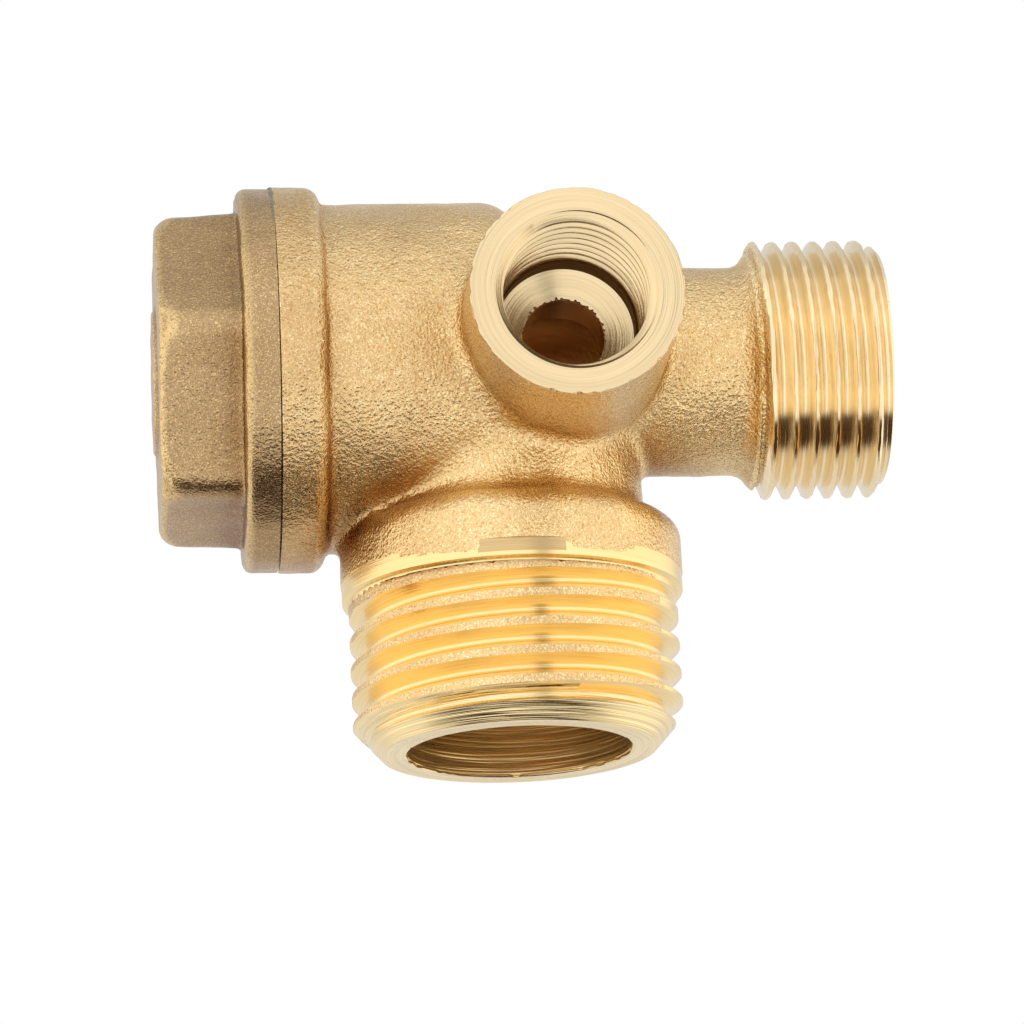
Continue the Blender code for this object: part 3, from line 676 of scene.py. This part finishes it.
def cast_and_machine():
    """The casting's surface net, cut in the order that a lathe would cut it.

    Outlines are (radius, station) pairs about the port's axis. Those past the
    casting's own size only take the cutter clear of it.
    """
    points, quads = surface_net(casting, NET_LOW, NET_HIGH, NET_STEP)
    points = settle(casting, points)
    body = place_mesh("brass_body", points, quads.tolist())
    cut_turned(body, "chamber", [
        (0, -19), (12.9, -19), (12.9, BODY_FACE), (RECESS_RADIUS, BODY_FACE), (RECESS_RADIUS, RECESS_FLOOR),
        (SPIGOT_BORE, RECESS_FLOOR), (SPIGOT_BORE, -10.4), (CHAMBER_RADIUS, -9.4),
        (CHAMBER_RADIUS, CHAMBER_END), (SEAT_RADIUS, CHAMBER_END), (SEAT_RADIUS, SEAT_FACE), (0, SEAT_FACE),
    ], segments=128, place=along_x)
    cut_turned(body, "inlet_bore", [
        (0, -3.8), (SEAT_BORE, -3.8), (SEAT_BORE, 0.2), (INNER_BORE, 1.1),
        (INNER_BORE, 8.0), (INLET_BORE, 8.05), (INLET_BORE, 23.3),
        (5.75, INLET_END), (9.8, INLET_END), (9.8, 27), (0, 27),
    ], segments=112, place=along_x)
    cut_turned(body, "inlet_turning", [
        (INLET_THREAD_RADIUS, 16.35), (9.6, 16.35), (9.6, 26), (7.6, 26), (7.6, INLET_END),
        (INLET_THREAD_RADIUS, 23.55),
    ], segments=128, place=along_x)
    cut_turned(body, "inlet_burr", [
        (7.5, 24.45), (8.42, 23.48), (9.3, 23.48), (9.3, 24.45),
    ], segments=420, place=along_x, burr={"amount": 0.009, "seed": 37, "finest": 150})
    cut_turned(body, "tank_bore", [
        (0, -4), (12.6, -4), (12.6, 0), (7.2, 0), (TANK_BORE, 0.06),
        (TANK_BORE, TANK_BORE_TOP), (0, TANK_BORE_TOP),
    ], segments=144)
    cut_turned(body, "tank_burr", [
        (0, -0.4), (7.16, -0.4), (7.16, 0.22), (0, 0.22),
    ], segments=300, burr={"amount": 0.010, "seed": 35})
    cut_turned(body, "tank_turning", [
        (8.75, -1), (8.75, 0), (TANK_THREAD_RADIUS, TANK_CHAMFER_TOP), (TANK_THREAD_RADIUS, BAND_START),
        (BAND_RADIUS, BAND_FULL), (BAND_RADIUS, BAND_GATE), (BAND_RADIUS, BAND_TOP),
        (12.8, BAND_RIM), (12.8, -1),
    ], segments=160)
    cut_turned(body, "boss_bore", [
        (0, 6.5), (HOLE_RADIUS, 6.5), (HOLE_RADIUS, 7.7), (4.4, 8.42), (4.4, 9.6), (BOSS_BORE, 9.7),
        (BOSS_BORE, 17.2), (5.04, BOSS_REACH), (8.5, BOSS_REACH), (8.5, 20), (0, 20),
    ], segments=112, place=along_minus_y)
    cut_turned(body, "air_hole", [
        (0, 0), (HOLE_RADIUS, 0), (HOLE_RADIUS, 7.0), (0, 7.0),
    ], segments=64, place=along_minus_y)
    cut_turned(body, "hole_burr", [
        (0, 7.55), (2.62, 7.55), (2.72, 8.2), (0, 8.2),
    ], segments=240, place=along_minus_y, burr={"amount": 0.045, "seed": 31})
    cut_turned(body, "boss_edge", [
        (6.55, 17.8), (6.72, 17.48), (7.2, 17.48), (7.2, 17.8),
    ], segments=240, place=along_minus_y, burr={"amount": 0.010, "seed": 33})
    cut_turned(body, "tank_passage", [
        (0, 13.4), (2.5, 13.4), (2.5, 18.2), (0, 18.2),
    ], segments=48, place=lambda points: points + passage_axis)
    points, faces = thread_groove(
        TANK_THREAD_RADIUS, TANK_PITCH, crest_station=0.95, span=(-1.8, 9.5), per_turn=150, seed=3,
        fade_last=0.45,
    )
    machine(body, place_mesh("tank_thread", points, faces))
    points, faces = thread_groove(
        INLET_THREAD_RADIUS, INLET_PITCH, crest_station=16.85, span=(15.6, 25.6), per_turn=130, seed=5,
        fade_first=0.3, raggedness=0.035,
    )
    machine(body, place_mesh("inlet_thread", along_x(points), faces))
    points, faces = thread_groove(
        BOSS_BORE, BOSS_PITCH, crest_station=16.0, span=(9.7, 18.8), per_turn=100, seed=7,
        fade_first=0.5, inward=-1, raggedness=0.01,
    )
    machine(body, place_mesh("boss_thread", along_minus_y(points), faces))
    return body


def pattern_place(tree, centre=(0, 0, 0), turn=(0, 0, 0)):
    """Object coordinates in millimetres, about a drawing-frame centre, turned."""
    coordinates = add_node(tree, "TexCoord").outputs["Object"]
    origin = Vector(centre) * MM + DRAWING_ORIGIN
    mapping = add_node(tree, "Mapping", coordinates, origin, turn, (MM, MM, MM), vector_type="TEXTURE")
    return mapping.outputs[0]


def noise(tree, place, scale, detail=2.0, roughness=0.5, fourth=None):
    """Noise value, of three coordinates or, with a fourth, of four."""
    made = add_node(tree, "TexNoise", {
        "Vector": place, "Scale": scale, "Detail": detail, "Roughness": roughness,
    })
    if fourth is not None:
        made.noise_dimensions = "4D"
        tree.links.new(fourth, made.inputs["W"])
    return made.outputs[0]


def add_surface(tree, color, metallic, roughness, height, depth):
    """Close a material with its shader, and a bump whose depth is in millimetres."""
    bump = add_node(tree, "Bump", {"Strength": 1.0, "Distance": depth * MM, "Height": height})
    shader = add_node(tree, "BsdfPrincipled", {
        "Base Color": color, "Metallic": metallic, "Roughness": roughness, "Normal": bump.outputs[0],
    })
    add_node(tree, "OutputMaterial", shader.outputs[0])


# Names of the mesh values: edge wear, painted shade, and the grain's relief.
EDGE_SHADE_RELIEF = ("edge", "painted_shade", "relief")


def cast_metal(name, pit, ground, fleck, corner, grain, depth, dull=0.20):
    """Metal with the sparkling grain that shot blasting leaves on a casting.

    The grain is a noise of the given size in millimetres, over a pebbling of
    twice that size and under finer specks. Most of the skin has the ground
    colour, with darker pits and a few bright flecks, which are partly grain and
    partly painted glints. Broad patches, which are stains, and the mesh's
    painted shade value, an ambient-occlusion shade painted into the colour,
    darken and brown it by the corner colour. Its "edge" value brightens the
    rounded edges. The bump is a weighted sum of the three noises, times the
    mesh's "relief" value.
    """
    material = bpy.data.materials.new(name)
    tree = empty_tree(material)
    place = pattern_place(tree)
    fine = noise(tree, place, 1 / grain, detail=2.0, roughness=0.6)
    pebble = noise(tree, place, 0.5 / grain, detail=1.0)
    speck = noise(tree, place, 1.5 / grain, detail=1.0)
    patch = noise(tree, place, 0.22, detail=3.0, roughness=0.6)
    edge, painted_shade, relief = (
        add_node(tree, "Attribute", attribute_name=kept).outputs["Fac"] for kept in EDGE_SHADE_RELIEF
    )
    color = mixed_color(tree, spread(tree, fine, 0.32, 0.50), pit, ground)
    # Bright flecks: partly grain, partly painted glints of the blasted skin.
    color = mixed_color(tree, spread(tree, speck, 0.54, 0.68), color, fleck)
    # Stains and painted shade: the random patches are stains, the shade value is painted shade, and both
    # darken the colour towards the corner colour.
    stain_and_shade_color = mixed_color(tree, 1.0, color, corner, "MULTIPLY")
    stain = calculate(tree, "MULTIPLY", spread(tree, patch, 0.40, 0.70), 0.22)
    stain = calculate(tree, "ADD", stain, spread(tree, painted_shade, 0.10, 0.70, 0.0, 0.85))
    color = mixed_color(tree, stain, color, stain_and_shade_color)
    sparkle = spread(tree, fine, 0.36, 0.56, 0.1, 0.85)
    worn = calculate(tree, "MULTIPLY", spread(tree, edge, 0.7, 2.2), sparkle)
    color = mixed_color(tree, worn, color, fleck)
    height = calculate(tree, "MULTIPLY_ADD", pebble, 1.3, calculate(tree, "MULTIPLY_ADD", speck, 0.4, fine))
    height = calculate(tree, "MULTIPLY", height, relief)
    add_surface(tree, color, 1.0, spread(tree, fine, 0.3, 0.6, dull + 0.10, dull), height, depth)
    return material


def turned_metal(name, color, lathe, lines, depth, roughness=0.17, tone=0.90):
    """Bright metal with the fine rings that a cutting tool leaves.

    The lathe is the tool axis's centre and turn. The rings are a noise of the
    distance from that axis and the place along it, with only a slow change
    round it, and there are about as many lines in a millimetre as given. The
    colour falls to its tone between them, and the roughness drifts.
    """
    material = bpy.data.materials.new(name)
    tree = empty_tree(material)
    parts = add_node(tree, "SeparateXYZ", pattern_place(tree, *lathe))
    radius = add_node(tree, "CombineXYZ", parts.outputs[0], parts.outputs[1])
    radius = add_node(tree, "VectorMath", radius.outputs[0], operation="LENGTH").outputs["Value"]
    across, upright = (
        calculate(tree, "MULTIPLY", calculate(tree, "DIVIDE", part, radius), 0.5)
        for part in parts.outputs[:2]
    )
    along = calculate(tree, "MULTIPLY", parts.outputs[2], lines)
    place = add_node(tree, "CombineXYZ", across, upright, along).outputs[0]
    ring_place = calculate(tree, "MULTIPLY", radius, lines)
    ring = noise(tree, place, 1.0, detail=2.0, roughness=0.6, fourth=ring_place)
    stain = noise(tree, place, 0.12, detail=1.0, fourth=radius)
    shade = mixed_color(tree, spread(tree, ring, 0.35, 0.65), tuple(tone * part for part in color), color)
    dullness = spread(tree, stain, 0.3, 0.7, roughness, roughness + 0.1)
    add_surface(tree, shade, 1.0, dullness, ring, depth)
    return material


SHARP_ANGLE = math.radians(32)


def dress(piece, body_name, node, materials):
    """Give a piece its materials, shading, body and replaced node."""
    piece.data.materials.clear()
    for material in materials:
        piece.data.materials.append(material)
    piece.data.shade_smooth()
    piece.data.set_sharp_from_angle(angle=SHARP_ANGLE)
    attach(piece, body_name)
    if node:
        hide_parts(node)


def read_vectors(items, name):
    """A vector of each vertex or face, in rows of three."""
    values = np.empty(len(items) * 3)
    items.foreach_get(name, values)
    return values.reshape(-1, 3)


def in_drawing(metres):
    """Drawing-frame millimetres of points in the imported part's frame."""
    return (metres - np.array(DRAWING_ORIGIN)) / MM


PROBE = 0.3
# Distances for the painted shade, an ambient-occlusion darkening.
SHADE_REACHES = (0.7, 1.6, 3.2, 6.4)
# Centre and radius of a place under the boss where the painted shade is eased, a painted lighter patch.
SHADE_EASED_PLACE = np.array([1.5, -9.0, 17.0])
SHADE_EASED_RADIUS = 5.5


def store_wear_and_shade(piece, field):
    """Keep at each vertex how its surface bends, its painted shade, and its relief.

    The edge value is the field's Laplacian, which is large on rounded edges.
    The painted shade value compares the field's rise along its gradient with
    the distance gone, over four distances: in the open the two are the same,
    so it is ambient-occlusion shade to be painted into the colour. It counts
    most on undersides, above all towards the cap, a little more on the body's
    flange, and is eased at a place under the boss, which is painted lighter.
    The relief of the grain falls with the height, to half at the collar.
    """
    points = in_drawing(read_vectors(piece.data.vertices, "co"))
    here = field(points)
    sides = [(field(points + PROBE * unit), field(points - PROBE * unit)) for unit in np.eye(3)]
    edge = sum(ahead + behind - 2 * here for ahead, behind in sides) / PROBE ** 2
    slope = np.stack([ahead - behind for ahead, behind in sides], -1)
    slope /= np.maximum(np.linalg.norm(slope, axis=-1, keepdims=True), 1e-6)
    # Painted shade: darker where the surface lies in a hollow.
    painted_shade = sum(1 - (field(points + away * slope) - here) / away for away in SHADE_REACHES) / 4
    under = np.clip(-slope[:, 2], 0, 1)
    # Painted shade is heavier on undersides.
    painted_shade *= 0.5 + 0.8 * under
    # More painted shade towards the cap end, most on undersides there.
    painted_shade += (0.15 + 0.5 * np.clip(under - 0.45, 0, 0.3)) * np.clip((-1 - points[:, 0]) / 6, 0, 1)
    # A little more painted shade on the body's flange.
    painted_shade += 0.10 * np.clip((-11.2 - points[:, 0]) / 0.6, 0, 1) * (points[:, 0] > BODY_FACE)
    # Painted light: less painted shade under the boss.
    shade_eased = np.exp(-((points - SHADE_EASED_PLACE) ** 2).sum(1) / SHADE_EASED_RADIUS ** 2)
    painted_shade *= 1 - 0.55 * shade_eased
    relief = np.clip(0.5 + (points[:, 2] - 13.5) / 10, 0.5, 1)
    for name, value in zip(EDGE_SHADE_RELIEF, (edge, painted_shade, relief)):
        layer = piece.data.attributes.new(name, "FLOAT", "POINT")
        layer.data.foreach_set("value", value.astype(np.float32))


def within(value, low, high):
    """True where a value lies between two limits."""
    return (value > low) & (value < high)


SKIN, TANK, INLET, BOSS, TANK_END, BORED, HOLE, HOLLOW_SHADE, GATE = range(9)


def sort_body_faces(piece):
    """Number each face's material: cast skin first, then how each port was cut.

    Where a tool has been, a face that still lies on the casting's own surface
    has kept its skin. The limits stand a little off the cut surfaces. The
    darkest faces, the drilled hole's wall, the boss's thread roots and the foot
    of its bore, get a dark brown brass that is painted shade. The bore seen
    through the air hole gets a darker, redder brass that is painted shade
    inside the body. Gate is the pale face of the gate's stub, where the band is
    cut through it.
    """
    middles = in_drawing(read_vectors(piece.data.polygons, "center"))
    x, y, z = middles.T
    from_barrel = np.hypot(y, z - AXIS_HEIGHT)
    from_tank = np.hypot(x, y)
    from_boss = np.hypot(x - BOSS_OFFSET, z - AXIS_HEIGHT)
    skin = np.abs(casting(middles)) < 0.016
    tool = np.interp(z, (BAND_START, BAND_FULL), (TANK_THREAD_RADIUS, BAND_RADIUS))
    tank = (z < 9.5) & ~skin | (z < 9.8) & (from_tank < 10.15)
    tank |= within(z, TANK_CHAMFER_TOP, BAND_RIM) & (np.abs(from_tank - tool) < 0.008)
    tank |= within(z, 11.05, 11.17) & (from_tank > 10.8) & ~skin
    tank_end = (z < 1.88) & (from_tank > 7.22)
    bored = (z < TANK_BORE_TOP + 0.2) & (from_tank < 7.3)
    # Painted shade: the bore seen through the air hole gets a darker, redder brass.
    hole = within(x, -3.7, 8) & within(from_barrel, 3.7, 4.72)
    # Painted shade: the drilled hole's wall, the boss's thread roots and the foot of its bore get the
    # darkest brass.
    root = within(y, -7.9, -1) & (from_boss < 2.9) & ~hole
    root |= within(y, -16.95, -8.4) & within(from_boss, 4.80, 5.2)
    root |= within(y, -9.8, -8.4) & (from_boss < 4.6)
    boss = (y < 0.1 - BOSS_REACH) | (y < -2.5) & (from_boss < 5.2)
    inlet = (x > 16.3) & ~skin | (x > -3.9) & (from_barrel < 5.9) & (y > -5.2)
    inlet |= (x > FIRST_CREST) & (from_barrel > 8.32)
    chamber = (x < -1.9) & (from_barrel < 9.7) & ~skin | (x < BODY_FACE + 1.8) & (from_barrel < 10.9)
    chamber |= x < BODY_FACE + 0.02
    gate = tank & (z > BAND_GATE) & (y < 0) & (np.abs(x + 0.1) < 2.75)
    cuts = [tank_end, bored, hole, root, gate, tank, boss, inlet | chamber]
    number = np.select(cuts, [TANK_END, BORED, HOLE, HOLLOW_SHADE, GATE, TANK, BOSS, INLET], SKIN)
    piece.data.polygons.foreach_set("material_index", number.astype(np.int32))
    level = np.abs(read_vectors(piece.data.polygons, "normal")).max(1) > 0.9999
    piece.data.polygons.foreach_set("use_smooth", ~(level & (number != SKIN)))


TANK_LATHE = ((0, 0, 0), (0, 0, 0))
BARREL_LATHE = (barrel_axis, (0, math.pi / 2, 0))
BOSS_LATHE = (boss_axis, (math.pi / 2, 0, 0))
# The finishes after the skin, in the order of TANK, INLET and the rest: colour,
# lathe, lines in a millimetre, depth of the rings, roughness and tone.
PORT_FINISHES = {
    "tank_port_brass": ((0.99, 0.74, 0.35), TANK_LATHE, 9.0, 0.010, 0.14, 0.90),
    "inlet_port_brass": ((0.96, 0.78, 0.50), BARREL_LATHE, 9.0, 0.018, 0.10, 0.90),
    "boss_port_brass": ((0.83, 0.65, 0.38), BOSS_LATHE, 5.0, 0.018, 0.17, 0.84),
    "tank_end_brass": ((1.0, 0.79, 0.43), TANK_LATHE, 5.0, 0.13, 0.16, 0.82),
    "bored_brass": ((1.0, 0.76, 0.39), TANK_LATHE, 3.0, 0.07, 0.22, 0.75),
    # Darker, redder brass: painted shade inside the body, seen through the air hole.
    "hole_brass": ((0.86, 0.52, 0.23), BOSS_LATHE, 4.0, 0.03, 0.28, 0.90),
    # Dark brown brass: painted shade in the boss's hole and thread roots.
    "hollow_shade_brass": ((0.36, 0.20, 0.08), BOSS_LATHE, 4.0, 0.01, 0.28, 0.90),
    "gate_brass": ((0.70, 0.49, 0.235), TANK_LATHE, 9.0, 0.03, 0.22, 0.82),
}
body = cast_and_machine()
dress(body, "housing", "valve_body", [
    cast_metal(
        "blasted_brass", pit=(0.66, 0.42, 0.18), ground=(0.82, 0.57, 0.27), fleck=(1.0, 0.84, 0.48),
        # The corner colour tints both the stains and the painted shade.
        corner=(0.50, 0.37, 0.27), grain=0.17, depth=0.082,
    ),
] + [turned_metal(name, *values) for name, values in PORT_FINISHES.items()])
sort_body_faces(body)
# The body's edge wear, painted shade and grain relief.
store_wear_and_shade(body, casting_form)

# Cap. A cast hexagon head on a round flange, darker than the body, with a
# turned spigot, whose thread is not drawn, a spring pocket and a guide hole
# for the poppet.
# It is screwed into the barrel's left end, and its turned face leans a little.
HEX_BASE = -16.95
HEX_HALF_WIDTH = 9.65
HEX_FIRST_FLAT = 34.2
HEX_DRAFT = math.radians(2.5)
HEAD_END = -22.2
CROWN_RADIUS = 9.9
CROWN_SLOPE = 0.9
PAD_RADIUS = 4.65
PAD_END = -22.47
CAP_FLANGE_RADIUS = 12.3
CAP_BLANK_END = -8.0
CAP_CLEAR = 14
CAP_FACE = -14.765
CAP_TILT = 0.0042
SPIGOT_RADIUS = 8.9
SPIGOT_END = -11.0
SPIGOT_CHAMFER = 0.4
POCKET_RADIUS = 5.2
POCKET_FLOOR = -14.5
GUIDE_RADIUS = 2.9
GUIDE_FLOOR = -20.3
CAP_NET_STEP = 0.30
CAP_NET_LOW = np.array([-23.0, -13.0, 11.8])
CAP_NET_HIGH = np.array([-7.0, 13.0, 37.8])


def cap_form(points):
    """Signed distance to the cap's head: six flats within a domed crown, and a flange.

    The flats lean inwards by their draft, the crown is a cone about the axis,
    and a low round pad stands on the head's end.
    """
    x, y, z = points[..., 0], points[..., 1], points[..., 2] - AXIS_HEIGHT
    radial = np.hypot(y, z)
    sides = radial - CAP_CLEAR
    lean = (HEX_BASE - x) * math.tan(HEX_DRAFT)
    for angle in np.radians(np.arange(HEX_FIRST_FLAT, 360, 60)):
        flat = z * math.sin(angle) - y * math.cos(angle) - HEX_HALF_WIDTH + lean
        sides = rounded_edge(sides, flat, 0.9)
    sides = np.maximum(sides, x - CAP_BLANK_END)
    crown = (radial - CROWN_RADIUS + CROWN_SLOPE * (HEAD_END - x)) / math.hypot(1, CROWN_SLOPE)
    head = rounded_edge(rounded_edge(sides, HEAD_END - x, 0.3), crown, 0.25)
    flange = rounded_rod(x, radial, CAP_FLANGE_RADIUS, start=HEX_BASE, end=CAP_BLANK_END, rounding=0.6)
    whole = filleted(head, flange, 0.35)
    pad = rounded_rod(x, radial, PAD_RADIUS, start=PAD_END, end=-18.0, rounding=0.22)
    return filleted(whole, pad, 0.25)


def cap_casting(points):
    """The cap's form with slight long and short waves."""
    long_waves = 0.02 * waves(points, wavelength=3.0, count=18, seed=21)
    short_waves = 0.008 * waves(points, wavelength=1.4, count=24, seed=22)
    return cap_form(points) + long_waves + short_waves


def tilted_along_x(points):
    """Lay a shape along the barrel, and shift it along x by the tilt times its height."""
    points = along_x(points)
    points[:, 0] += CAP_TILT * (points[:, 2] - AXIS_HEIGHT)
    return points


points, quads = surface_net(cap_casting, CAP_NET_LOW, CAP_NET_HIGH, CAP_NET_STEP)
cap = place_mesh("cap", settle(cap_casting, points), quads.tolist())
cut_turned(cap, "spigot_turning", [
    (0, SPIGOT_END), (SPIGOT_RADIUS - SPIGOT_CHAMFER, SPIGOT_END),
    (SPIGOT_RADIUS, SPIGOT_END - SPIGOT_CHAMFER), (SPIGOT_RADIUS, CAP_FACE),
    (CAP_CLEAR, CAP_FACE), (CAP_CLEAR, -5), (0, -5),
], segments=128, place=tilted_along_x)
cut_turned(cap, "spring_pocket", [
    (0, GUIDE_FLOOR), (GUIDE_RADIUS, GUIDE_FLOOR), (GUIDE_RADIUS, POCKET_FLOOR),
    (POCKET_RADIUS, POCKET_FLOOR), (POCKET_RADIUS, -10), (0, -10),
], segments=96, place=along_x)
dress(cap, "housing", "hex_cap", [
    cast_metal(
        "blasted_bronze", pit=(0.385, 0.255, 0.130), ground=(0.475, 0.323, 0.167), fleck=(0.80, 0.575, 0.27),
        # The corner colour tints both the stains and the painted shade.
        corner=(0.50, 0.36, 0.26), grain=0.15, depth=0.04, dull=0.22,
    ),
    turned_metal("cap_turning", (0.70, 0.52, 0.29), BARREL_LATHE, lines=9.0, depth=0.01),
])
x, y, z = in_drawing(read_vectors(cap.data.polygons, "center")).T
bored = (x > GUIDE_FLOOR - 0.1) & (np.hypot(y, z - AXIS_HEIGHT) < POCKET_RADIUS + 0.1)
turned_faces = bored | (x > CAP_FACE - 0.075)
cap.data.polygons.foreach_set("material_index", turned_faces.astype(np.int32))
# The cap's edge wear, painted shade and grain relief.
store_wear_and_shade(cap, cap_form)

# Sealant. A thin grey bead squeezed out of the seam between cap and body, only
# over the top of the valve. It is a circle carried round the barrel, whose
# radius swells and shrinks by a product of sines and runs out at both ends.
SEAM_RADIUS = 12.2
BEAD_RADIUS = 0.23
BEAD_START = 33
BEAD_SWEEP = 92


def plain_material(name, color, roughness, grain, depth, metallic=0.0):
    """Even colour with a slight surface grain."""
    material = bpy.data.materials.new(name)
    tree = empty_tree(material)
    height = noise(tree, pattern_place(tree), 1 / grain)
    add_surface(tree, (*color, 1), metallic, roughness, height, depth)
    return material


share = np.linspace(0, 1, 160)
around = np.radians(BEAD_START + BEAD_SWEEP * share)
swell = BEAD_RADIUS * np.minimum(1, np.minimum(share, 1 - share) * 12)
swell *= 0.70 + 0.30 * np.sin(around * 61) * np.sin(around * 97 + 1)
turn = circle_angles(10)
reach = SEAM_RADIUS + swell[:, None] * np.cos(turn)
rings = np.stack([
    (BODY_FACE + CAP_FACE) / 2 + swell[:, None] * np.sin(turn),
    -reach * np.cos(around)[:, None], AXIS_HEIGHT + reach * np.sin(around)[:, None],
], -1)
bead = place_mesh("seam_sealant", *tube(rings))
dress(bead, "housing", None, [
    plain_material("grey_sealant", (0.20, 0.195, 0.16), roughness=0.6, grain=0.5, depth=0.05),
])

# Seal ring. A moulded rubber ring round the spigot, in the body's counterbore.
# It is squeezed there when the cap is screwed down.
RING_RADIUS = 9.8
RING_STATION = -14.1
RING_SECTION_RADIUS = 0.6
turn = circle_angles(24)
section = np.stack([
    RING_RADIUS + RING_SECTION_RADIUS * np.cos(turn), RING_STATION + RING_SECTION_RADIUS * np.sin(turn),
], -1)
points, faces = turned([tuple(corner) for corner in section], segments=128)
seal_ring = place_mesh("rubber_ring", along_x(points), faces)
dress(seal_ring, "housing", "cap_seal_ring", [
    plain_material("ring_rubber", (0.018, 0.018, 0.019), roughness=0.55, grain=0.3, depth=0.01),
])

# Poppet. A turned brass cup with a stem, which slides in the cap's guide hole
# and lifts off the seat when air comes in.
CUP_RADIUS = 7.1
CUP_BORE = 6.2
CUP_RIM = -3.6
CUP_FLOOR = -5.4
CUP_BACK = -6.7
POPPET_STEM_RADIUS = 2.6
POPPET_STEM_END = -16.0
PALE_BRASS = (0.92, 0.70, 0.38)
points, faces = turned([
    (0, CUP_FLOOR), (CUP_BORE, CUP_FLOOR), (CUP_BORE, CUP_RIM, 0.1),
    (CUP_RADIUS, CUP_RIM, 0.25), (CUP_RADIUS, CUP_BACK, 0.3), (POPPET_STEM_RADIUS, CUP_BACK, 0.3),
    (POPPET_STEM_RADIUS, POPPET_STEM_END, 0.45), (0, POPPET_STEM_END),
], segments=112)
poppet = place_mesh("brass_poppet", along_x(points), faces)
dress(poppet, "poppet_unit", "poppet", [
    turned_metal("poppet_brass", PALE_BRASS, BARREL_LATHE, lines=9.0, depth=0.008),
])

# Seal disc. A flat rubber disc pressed into the poppet's cup, facing the seat.
# It is moulded, with slightly rounded edges.
DISC_RADIUS = 5.9
DISC_BACK = -5.1
DISC_FACE = -3.1
DISC_ROUNDING = 0.12
points, faces = turned([
    (0, DISC_BACK), (DISC_RADIUS, DISC_BACK, DISC_ROUNDING), (DISC_RADIUS, DISC_FACE, DISC_ROUNDING),
    (0, DISC_FACE),
], segments=112)
disc = place_mesh("rubber_disc", along_x(points), faces)
dress(disc, "poppet_unit", "seal_disc", [
    plain_material("disc_rubber", (0.02, 0.02, 0.021), roughness=0.6, grain=0.4, depth=0.01),
])

# Return spring. Hard steel wire coiled in the cap's pocket, behind the poppet:
# a circle carried along a helix. It shortens towards the pocket's floor as the
# poppet opens.
SPRING_FLOOR = -14.2
SPRING_LENGTH = 7.2
SPRING_RADIUS = 4.6
WIRE_RADIUS = 0.3
COILS = 5
COIL_STEPS = 64
share = np.linspace(0, 1, COILS * COIL_STEPS + 1)
around = 2 * np.pi * COILS * share
climb = SPRING_FLOOR + WIRE_RADIUS + (SPRING_LENGTH - 2 * WIRE_RADIUS) * share
centres = np.stack([SPRING_RADIUS * np.cos(around), SPRING_RADIUS * np.sin(around), climb], -1)
outward = np.stack([np.cos(around), np.sin(around), 0 * around], -1)
turn = circle_angles(14)
across = outward[:, None] * np.cos(turn)[:, None]
lengthwise = np.array([0, 0, 1]) * np.sin(turn)[:, None]
points, faces = tube(centres[:, None] + WIRE_RADIUS * (across + lengthwise))
spring = place_mesh("steel_spring", along_x(points), faces)
dress(spring, "housing", "return_spring", [
    plain_material("spring_wire", (0.60, 0.59, 0.56), roughness=0.28, grain=0.2, depth=0.004, metallic=1.0),
])
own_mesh(spring)
